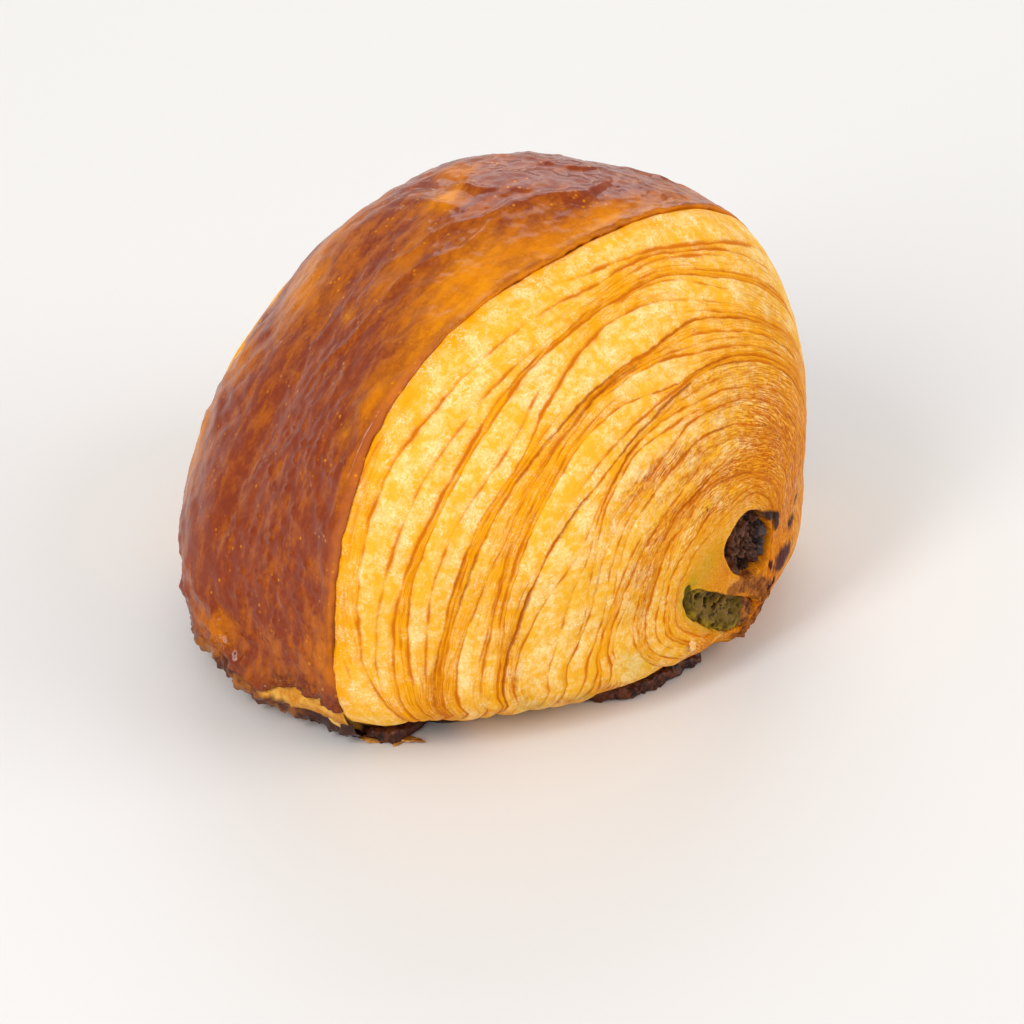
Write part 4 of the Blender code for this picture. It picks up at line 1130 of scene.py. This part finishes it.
def crust_shell():
    """The crust over the roll, with a round lip at both edges and a rim at both feet."""
    far_edge = 3 - FAR_CRUST_SHARE
    lip_share, length = LIP_REACH / CRUST_WIDTH, far_edge - 1
    body = 1 + np.concatenate([
        np.linspace(0.0015, lip_share, LIP_ROWS, endpoint=False),
        np.linspace(lip_share, length - lip_share, MIDDLE_ROWS, endpoint=False),
        np.linspace(length - lip_share, length - 0.0015, FAR_LIP_ROWS),
    ])
    row_place, row_drop = turned_edges(LIP_TURN, body, 1, far_edge)
    left, right = rim_angles(row_place, True), rim_angles(row_place, False)
    column_part, column_drop = turned_edges(RIM_TURN, np.linspace(0, 1, CRUST_COLUMNS), 0, 1)
    angle = left[:, None] + (right - left)[:, None] * column_part
    place = np.broadcast_to(row_place[:, None], angle.shape).copy()
    to_near, to_far = (place - 1) * CRUST_WIDTH, (far_edge - place) * CRUST_WIDTH
    waver = 0.45 * waves(801, angle, (7, 12, 19, 31), 0.3) + 0.20 * waves(802, angle, (47, 71, 104), 0.2)
    place = place + waver / CRUST_WIDTH * ((1 - ramp(to_near, 0, 4)) - (1 - ramp(to_far, 0, 4)))
    place = np.where(row_place[:, None] < 1.05, np.maximum(place, 1 - 0.0008), place)
    drawn = place
    back = (place - 1) * CRUST_WIDTH - lip_overlap(angle) * (1 - ramp(to_near, 0, OVERLAP_FADE))
    place = np.where(back < 0, near_place(-back), 1 + back / CRUST_WIDTH)
    place = place + far_overlap(angle) * ramp(place, FAR_OVERLAP_FROM, far_edge)
    drop = row_drop[:, None] + column_drop
    smooth = roll_point(place, angle)
    to_edge = np.minimum(to_near, to_far)
    degrees = np.degrees(angle)
    swollen = ramp(degrees, *LIP_SWOLLEN_ANGLES[:2]) * (1 - ramp(degrees, *LIP_SWOLLEN_ANGLES[2:]))
    swollen = (0.55 + LIP_SWOLLEN * swollen) * (1 + 0.25 * bumps(smooth, 7.0, 2, 5.0))
    before = to_edge < LIP_PEAK * swollen
    lip = np.exp(-(((to_edge / swollen - LIP_PEAK) / np.where(before, LIP_RISE, LIP_FALL)) ** 2))
    height = LIP_HEIGHT * lip * swollen * (1 + 0.45 * bumps(smooth, 5.0, 2, 22.0))
    inner = ramp(to_edge, 1.0, 5.0)
    height = height + fold_relief(drawn, angle)
    height = height + inner * (0.30 * bumps(smooth, 10.0) + 0.26 * bumps(smooth, 4.0, 2, 3.0))
    blisters = blister_relief(drawn, angle)
    height = height + inner * (0.10 * bumps(smooth, 2.0, 2, 16.0) + blisters)
    height = height + painted(CRUST_SWELLS, angle, drawn) - painted(CRUST_DIPS, angle, drawn)
    crumpled = painted(CRUMPLED, angle, drawn)
    height = height + crumpled * (0.7 * bumps(smooth, 5.0, 2, 1.0) + 0.5 * bumps(smooth, 1.8, 2, 8.0) - 0.1)
    height = height + 0.05 * bumps(smooth, 1.3, 2, 9.0)
    to_rim = np.minimum(np.abs(angle - left[:, None]), np.abs(angle - right[:, None]))
    rim_near = np.exp(-((to_rim / RIM_SPREAD) ** 2))
    rim_place = rim_near * (1 - ramp(drawn, 1.35, 1.7))
    crumbs = 0.9 * rim_place * (bumps(smooth, 1.1, 2, 5.0) + 0.3)
    height = height + rim_near * (0.45 * bumps(smooth, 1.8, 2, 2.0) + crumbs)
    point = smooth + outward(place, angle) * (height + drop)[..., None]
    boundary = 128.5 + 1.2 * bumps(smooth, 3.0, 2, 12.0)
    orange = painted(CRUST_ORANGE_PATCHES[:1], angle, drawn) * (1 - ramp(degrees, boundary - 1.5, boundary + 1.5))
    orange = np.maximum(orange, painted(CRUST_ORANGE_PATCHES[1:], angle, drawn))
    wall = (1 - ramp(to_near, 0.2, 1.1)) * (1 - ramp(degrees, 118, 130))
    orange = np.maximum(orange, 0.8 * wall)
    low = ramp(degrees, 150, 185)
    # The lip's lighter colour, partly a painted highlight, fades out low on the left, and its extra gloss follows it.
    lip_gloss_and_highlight = ramp(degrees, 118, 132) * (1 - 0.8 * ramp(degrees, 160, 172))
    masks = {
        "orange": np.clip(orange + 0.06 * bumps(smooth, 5.0, 3, 15.0), 0, 1),
        "bright": painted(CRUST_BRIGHT_PATCHES, angle, drawn),
        "deep": np.maximum(painted(CRUST_DEEP_PATCHES, angle, drawn), np.clip(3 * blisters, 0, 1)),
        "rim": np.maximum(rim_place, 0.7 * crumpled * ramp(degrees, 183, 189)),
        "blister": np.clip(0.25 + 0.75 * low, 0, 1) * inner,
        # Lip: a lighter colour, partly a painted highlight, and more gloss.
        "lip": np.exp(-(((to_near - 0.7) / 0.8) ** 2)) * lip_gloss_and_highlight,
    }
    return grid_piece("crust", point, CRUST, masks, closed=False)


# The foot under the crust's rim

FOOT_PLACES = 420
WEDGE_TAPER, WEDGE_TAPER_PLACES = 0.36, (1.28, 1.56)
# Down the foot: how far from the rim's height to the floor, and how far set back under the crust.
FOOT_PROFILE = ((-0.12, 1.3), (0.0, 0.7), (0.12, 0.3), (0.26, 0.2), (0.38, 0.2), (0.44, 0.6), (0.50, 1.1), (0.57, 0.7),
                (0.66, 0.0), (0.76, -0.3), (0.86, -0.1), (0.94, 0.6), (1.0, 1.8))


def crust_foot(name, left):
    """What shows below the crust's rim: a pale inner layer, then crumpled caramel down to the floor."""
    place = np.linspace(0.99, 2.34, FOOT_PLACES)
    rim = rim_angles(place, left)
    rim_z = roll_point(place, rim)[:, 2]
    profile = np.array(FOOT_PROFILE)
    search = np.radians(np.linspace(176, 240, 129) if left else np.linspace(4, -60, 129))
    rows = []
    for here, top in zip(place, np.maximum(rim_z, 3.0)):
        heights = roll_point(np.full_like(search, here), search)[:, 2]
        wanted = MIDDLE[2] + (top - MIDDLE[2]) * (1 - profile[:, 0])
        rows.append(np.interp(-wanted, -heights, search))
    angle = np.array(rows).T
    spread = np.broadcast_to(place, angle.shape)
    smooth = roll_point(spread, angle)
    depth = np.broadcast_to(profile[:, 0][:, None], angle.shape)
    wavy = 0.05 * bumps(smooth * (1, 1, 0), 5.0, 3, 2.0)
    pale = 1 - ramp(depth + wavy + WEDGE_TAPER * ramp(spread, *WEDGE_TAPER_PLACES), 0.40, 0.46)
    lumps = 0.8 * bumps(smooth, 3.2, 3, 4.0) + 0.40 * bumps(smooth, 1.1, 2, 6.0)
    height = -np.broadcast_to(profile[:, 1][:, None], angle.shape) + lumps * (0.25 + 0.9 * (1 - pale))
    point = smooth + outward(spread, angle) * height[..., None]
    point[..., 2] = np.maximum(point[..., 2], MIDDLE[2])
    if left:
        pale = pale * (1 - ramp(spread, 1.50, 1.62))
    masks = {"pale": pale, "chocolate": (1 - ramp(spread, 1.10, 1.35)) * (1 - pale)}
    if not left:
        point, masks = point[:, ::-1], {key: value[:, ::-1] for key, value in masks.items()}
    return grid_piece(name, point, FOOT, masks, closed=False)


def underside():
    """The flat bottom between the two feet, hidden but for its rim."""
    place = np.linspace(0.98, 2.34, 60)[:, None]
    angle = np.radians(np.linspace(192, 348, 90))[None]
    place, angle = np.broadcast_arrays(place, angle)
    smooth = roll_point(place, angle)
    point = smooth - outward(place, angle) * 1.8
    point[..., 2] = np.maximum(point[..., 2], MIDDLE[2] + 0.35)
    zero = np.zeros(point.shape[:2])
    masks = {"pale": zero, "chocolate": zero}
    return grid_piece("underside", point, FOOT, masks, closed=False)


# The fillings

END_RINGS, END_SIDES, BAR_STATIONS = 60, 260, 24
# Small dark holes in the matcha, as x and z.
MATCHA_PITS = ((4.1, 15.2), (7.3, 14.8), (1.9, 17.5), (0.4, 14.0), (4.0, 12.0), (-0.6, 13.7), (5.6, 15.9), (-0.2, 19.2))


def bar_outline(bar, angle):
    across, up = np.cos(angle), np.sin(angle)
    total = np.abs(2 * across / bar.width) ** bar.corner + np.abs(2 * up / bar.height) ** bar.corner
    reach = total ** (-1 / bar.corner)
    x, z = reach * across, reach * up
    return x * np.cos(bar.turn) - z * np.sin(bar.turn), x * np.sin(bar.turn) + z * np.cos(bar.turn)


def broken_cells(point, size, seed):
    """In a mass of broken lumps: each point's distance from a crack and a lump's middle, and a chance."""
    cells = [noise.voronoi(Vector(spot) / size + Vector((seed, 0, 0))) for spot in point.reshape(-1, 3).tolist()]
    shape = point.shape[:2]
    border = np.array([distances[1] - distances[0] for distances, _ in cells]).reshape(shape)
    centre = np.array([distances[0] for distances, _ in cells]).reshape(shape)
    chance = np.array([noise.cell(spots[0] * 7.3) for _, spots in cells]).reshape(shape)
    return border, centre, chance


def filling_piece(name, bar, material, lump, seed, crumbly):
    """A filling with a broken face at both ends: loose crumbly lumps, or a paste with small holes, with painted shade
    in its cracks, holes and hollows.
    """
    angle = np.linspace(0, 2 * np.pi, END_SIDES, endpoint=False)
    x, z = bar_outline(bar, angle)
    wobble = 1 + 0.03 * waves(seed, angle, (3, 5, 9, 14), 0.4)
    x, z = x * wobble, z * wobble
    rings = np.linspace(0.02, 1, END_RINGS) ** 0.9
    rows, kind = [], []
    for ring in rings:
        rows.append(np.stack([bar.x + x * ring, np.full_like(x, bar.start + 0.5 * ring**8), bar.z + z * ring], -1))
        kind.append(1.0)
    for station in np.linspace(0, 1, BAR_STATIONS)[1:-1]:
        y = bar.start + 0.8 + station * (bar.end - bar.start - 1.6)
        rows.append(np.stack([bar.x + x, np.full_like(x, y), bar.z + z], -1))
        kind.append(0.25)
    for ring in rings[::-1]:
        rows.append(np.stack([bar.x + x * ring, np.full_like(x, bar.end - 0.5 * ring**8), bar.z + z * ring], -1))
        kind.append(1.0)
    point = np.array(rows)[:, ::-1]
    kind = np.array(kind)[:, None]
    away = point - np.array([bar.x, 0, bar.z]) * (1, 0, 1)
    stirred = point + 0.5 * lump * np.stack([bumps(point, lump, 2, 31.0), bumps(point, lump, 2, 47.0),
                                             bumps(point, lump, 2, 59.0)], -1)
    border, centre, chance = broken_cells(stirred, lump, seed)
    fine = bumps(point, lump * 0.4, 3, seed + 5)
    grit = bumps(point, lump * 0.16, 2, seed + 8)
    if crumbly:
        small_border, _, small_chance = broken_cells(stirred, lump * 0.45, seed + 2)
        crack = 1 - ramp(border, 0.02, 0.25)
        height = 0.8 * chance + 0.35 * small_chance - 0.7 * crack - 0.25 * (1 - ramp(small_border, 0, 0.2))
        height = height + 0.35 * fine + 0.15 * grit - 0.4 * centre**2 + 0.2
        # Painted shade: dark where cracks open and where the face lies low.
        painted_gap_shade = np.maximum(crack * ramp(-chance, -0.4, 0.4), ramp(-height, 0.45, 1.1))
    else:
        pit = np.zeros_like(fine)
        for pit_x, pit_z in MATCHA_PITS:
            reach = np.hypot(point[..., 0] - pit_x, point[..., 2] - pit_z) + 0.25 * fine
            pit = np.maximum(pit, 1 - ramp(reach, 0.35, 0.75))
        pit = pit * (point[..., 1] < 0)
        height = 0.45 * bumps(point, 3.0, 2, seed) + 0.35 * fine + 0.12 * grit - 1.3 * pit
        # Painted shade: dark in the pits and in the low places of the paste.
        painted_gap_shade = pit + 0.8 * ramp(-fine, 0.15, 0.55)
    height = height * kind
    direction = np.zeros_like(point)
    direction[..., 1] = np.where(point[..., 1] < 0, -1, 1) * (kind > 0.5)
    flat = np.hypot(away[..., 0], away[..., 2])
    direction[..., 0] = away[..., 0] / np.maximum(flat, 1) * 0.3
    direction[..., 2] = away[..., 2] / np.maximum(flat, 1) * 0.3
    point = point + direction * height[..., None]
    measure = bar_measure(bar, point[..., 0], point[..., 2])
    side = ramp(point[..., 0] - bar.x, 2.6, 4.6) if crumbly else ramp(point[..., 0] - bar.x, 3.5, 7.0)
    masks = {
        # Painted shade for cracks, holes and hollows.
        "painted_gap_shade": np.clip(painted_gap_shade * kind, 0, 1) * 0.9, "edge": ramp(measure, 0.60, 0.95) * kind * 0.8,
        # The right side: a painted grey sheen on the chocolate, real browning on the matcha.
        "side_sheen_and_browning": side * kind * (point[..., 1] < 0) * 0.8, "tone": np.clip(0.5 * chance + 0.3 * grit, 0, 0.6),
    }
    return grid_piece(name, point, material, masks, tip=point[-1].mean(0))


# Chocolate under the base

# The outline of the chocolate from above, with a bite out of it at the near left.
BASE_HALF_X, BASE_HALF_Y, BASE_POWER, BASE_MIDDLE_Y = 47.6, 39.0, 2.5, -3.5
BASE_WOBBLE, BASE_SEED = 0.012, 31
BITE_DEPTH, BITE_START, BITE_END = 0.21, np.radians((204, 211)), np.radians((236, 262))
OUTSTAND = 0.8
# The chocolate lies further in under the eye's right side.
TUCKED_DEPTH, TUCKED_START, TUCKED_END = 0.10, np.radians((279, 290)), np.radians((318, 335))
TONGUE_REACH, TONGUE_ANGLE, TONGUE_SPREAD = 0.03, np.radians(281), np.radians(14)
BASE_COLUMNS = 900
# The edge from the top inwards round to the underside: how far in, and how high.
BASE_PROFILE = (
    (8.0, 2.4), (4.0, 2.4), (2.0, 2.4), (1.2, 2.35), (0.7, 2.2), (0.3, 1.9), (0.1, 1.5), (0.0, 1.1), (0.0, 0.7),
    (0.1, 0.35), (0.35, 0.1), (0.8, 0.0), (4.0, 0.0), (14.0, 0.0),
)


def base_piece():
    """The chocolate baked on under the base, with a broken, crumbly edge."""
    angle = np.linspace(0, 2 * np.pi, BASE_COLUMNS, endpoint=False)
    across, along = np.cos(angle), np.sin(angle)
    reach = np.abs(across / BASE_HALF_X) ** BASE_POWER + np.abs(along / BASE_HALF_Y) ** BASE_POWER
    reach = reach ** (-1 / BASE_POWER) * (1 + BASE_WOBBLE * waves(BASE_SEED, angle, (3, 5, 8, 13), 0.4))
    bite = BITE_DEPTH * ramp(angle, *BITE_START) * (1 - ramp(angle, *BITE_END))
    tongue = TONGUE_REACH * np.exp(-(((angle - TONGUE_ANGLE) / TONGUE_SPREAD) ** 2))
    tucked = TUCKED_DEPTH * ramp(angle, *TUCKED_START) * (1 - ramp(angle, *TUCKED_END))
    reach = reach * (1 - bite + tongue - tucked) + OUTSTAND
    rows = []
    for back, z in BASE_PROFILE:
        length = reach - back
        rows.append(np.stack([across * length, along * length + BASE_MIDDLE_Y, np.full_like(angle, z)], -1))
    point = np.array(rows)
    edge = np.array([1.0 if back < 2.5 else 0.0 for back, _ in BASE_PROFILE])[:, None]
    lumps = 0.7 * bumps(point, 2.6, 3, 1.0) + 0.40 * bumps(point, 0.9, 2, 8.0)
    lumps = lumps + 0.15 * bumps(point, 0.45, 2, 3.0)
    push = edge * lumps
    point[..., 0] += across * push
    point[..., 1] += along * push
    point[..., 2] = np.clip(point[..., 2] + edge * 0.5 * bumps(point, 1.2, 2, 4.0), 0, 2.7)
    point[-3:, :, 2] = 0
    point[..., 2] += MIDDLE[2]
    # Painted shade: dark where the broken edge is pushed in.
    masks = {"painted_gap_shade": ramp(-push, 0.1, 0.7) * 0.6}
    tip = (0, BASE_MIDDLE_Y, MIDDLE[2])
    return grid_piece("base_chocolate_crust", point, BASE_CHOCOLATE, masks, tip=tip)


# Loose thin flakes: where each lies, how long and wide it is, and how it is turned and tilted.
Flake = namedtuple("Flake", "x y z length width turn tilt")
FLAKES = (
    Flake(-44.6, -20.5, 0.75, 5.2, 2.6, np.radians(-40), np.radians(8)),
    Flake(-41.6, -24.4, 0.75, 4.6, 1.9, np.radians(-62), np.radians(-6)),
    Flake(-43.2, -23.6, 0.60, 2.2, 1.3, np.radians(10), np.radians(4)),
    Flake(-1.9, -50.0, 11.2, 2.9, 1.9, np.radians(24), np.radians(68)),
)
FLAKE_SIDES, FLAKE_THICKNESS = 40, 0.35
# Round a flake from its upper middle over its edge to its lower middle: how far out, and how high.
FLAKE_PROFILE = ((0.0, 0.5), (0.5, 0.5), (0.92, 0.4), (1.0, 0.0), (0.92, -0.4), (0.5, -0.5), (0.0, -0.5))


def flakes():
    """Thin curled flakes with ragged edges: on the floor by the left corner, and one beside the matcha."""
    angle = np.linspace(0, 2 * np.pi, FLAKE_SIDES, endpoint=False)
    for number, flake in enumerate(FLAKES):
        ragged = 1 + 0.28 * waves(900 + number, angle, (2, 3, 5, 9), 0.3)
        rows = []
        for share, level in FLAKE_PROFILE:
            u = 0.5 * flake.length * np.cos(angle) * ragged * max(share, 0.02)
            v = 0.5 * flake.width * np.sin(angle) * ragged * max(share, 0.02)
            curl = 0.25 * (share * np.cos(angle + number)) ** 2
            rows.append(np.stack([u, v, level * FLAKE_THICKNESS + curl * flake.width * 0.5], -1))
        point = np.array(rows)
        turn = Matrix.Rotation(flake.turn, 3, "Z") @ Matrix.Rotation(flake.tilt, 3, "X")
        point = point @ np.array(turn).T + np.array([flake.x, flake.y, flake.z])
        point[..., 2] = np.maximum(point[..., 2], MIDDLE[2])
        material = PALE_FLAKE if flake.z > 5 else FLAKE
        grid_piece(f"flake_{number}", point[:, ::-1], material, tip=point[-1].mean(0))


# Camera, floor and light

EYE_POINT = Vector((-0.50068, -0.46837, 0.44800))
VIEW_AZIMUTH, VIEW_ELEVATION = np.radians(-47.009), np.radians(31.5)
LENS, SENSOR = 170.45, 36.0
SHIFT_X, SHIFT_Y = 0.0216, -0.0741
FLOOR_RADIUS, FLOOR_SIDES, FLOOR_COLOR = 6, 96, srgb(226, 224, 222)
SKY_COLOR, SKY_STRENGTH = (1.0, 0.99, 0.98, 1), 0.58


def view_camera():
    back = Vector((
        np.sin(VIEW_AZIMUTH) * np.cos(VIEW_ELEVATION),
        -np.cos(VIEW_AZIMUTH) * np.cos(VIEW_ELEVATION),
        np.sin(VIEW_ELEVATION),
    ))
    data = bpy.data.cameras.new("camera")
    data.lens, data.sensor_width = LENS, SENSOR
    data.shift_x, data.shift_y = SHIFT_X, SHIFT_Y
    camera = bpy.data.objects.new("camera", data)
    camera.matrix_world = Matrix.Translation(EYE_POINT) @ back.to_track_quat("Z", "Y").to_matrix().to_4x4()
    scene.collection.objects.link(camera)
    scene.camera = camera


def soft_light(name, azimuth, elevation, distance, size, power, height=None):
    """A soft light that faces the object. Azimuth and elevation are in degrees."""
    turn, rise = np.radians(azimuth), np.radians(elevation)
    away = Vector((np.sin(turn) * np.cos(rise), -np.cos(turn) * np.cos(rise), np.sin(rise)))
    data = bpy.data.lights.new(name, "AREA")
    data.shape, data.size, data.size_y, data.energy = "RECTANGLE", size, height or size, power
    light = bpy.data.objects.new(name, data)
    facing = away.to_track_quat("Z", "Y").to_matrix().to_4x4()
    light.matrix_world = Matrix.Translation(away * distance + Vector((0, 0, 0.03))) @ facing
    scene.collection.objects.link(light)


def surroundings():
    """A plain pale floor, soft lights and a pale sky."""
    mesh = bpy.data.meshes.new("floor")
    turn = np.linspace(0, 2 * np.pi, FLOOR_SIDES, endpoint=False)
    rim = [(FLOOR_RADIUS * np.cos(angle), FLOOR_RADIUS * np.sin(angle), 0) for angle in turn]
    mesh.from_pydata(rim, [], [tuple(range(FLOOR_SIDES))])
    floor = bpy.data.objects.new("floor", mesh)
    made, tree, shader = new_material("pale_floor")
    shader.inputs["Base Color"].default_value = FLOOR_COLOR
    shader.inputs["Roughness"].default_value = 0.6
    mesh.materials.append(made)
    scene.collection.objects.link(floor)
    world = bpy.data.worlds.new("pale_sky")
    world.use_nodes = True
    background = world.node_tree.nodes["Background"]
    background.inputs["Color"].default_value = SKY_COLOR
    background.inputs["Strength"].default_value = SKY_STRENGTH
    scene.world = world
    soft_light("key", -85, 52, 1.3, 0.9, 1.3)
    soft_light("window", -86, 36, 1.2, 0.28, 7.6, height=0.8)
    soft_light("fill", 32, 32, 1.4, 1.0, 7.4)
    soft_light("back", 132, 26, 1.4, 0.9, 5.6)
    scene.view_settings.view_transform = "Standard"


view_camera()
surroundings()
near, eye = near_layers()
far = far_layers()
shell = crust_shell()
left_foot = crust_foot("left_foot", True)
right_foot = crust_foot("right_foot", False)
bottom = underside()
baton = filling_piece("baton", BATON, BATON_CHOCOLATE, lump=2.4, seed=11, crumbly=True)
matcha = filling_piece("matcha", MATCHA, MATCHA_PASTE, lump=2.8, seed=23, crumbly=False)
base = base_piece()
flakes()
for piece in (near, eye, far, shell, left_foot, right_foot, bottom):
    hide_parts("pastry")
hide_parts("chocolate_baton")
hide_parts("matcha_filling")
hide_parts("base_chocolate")
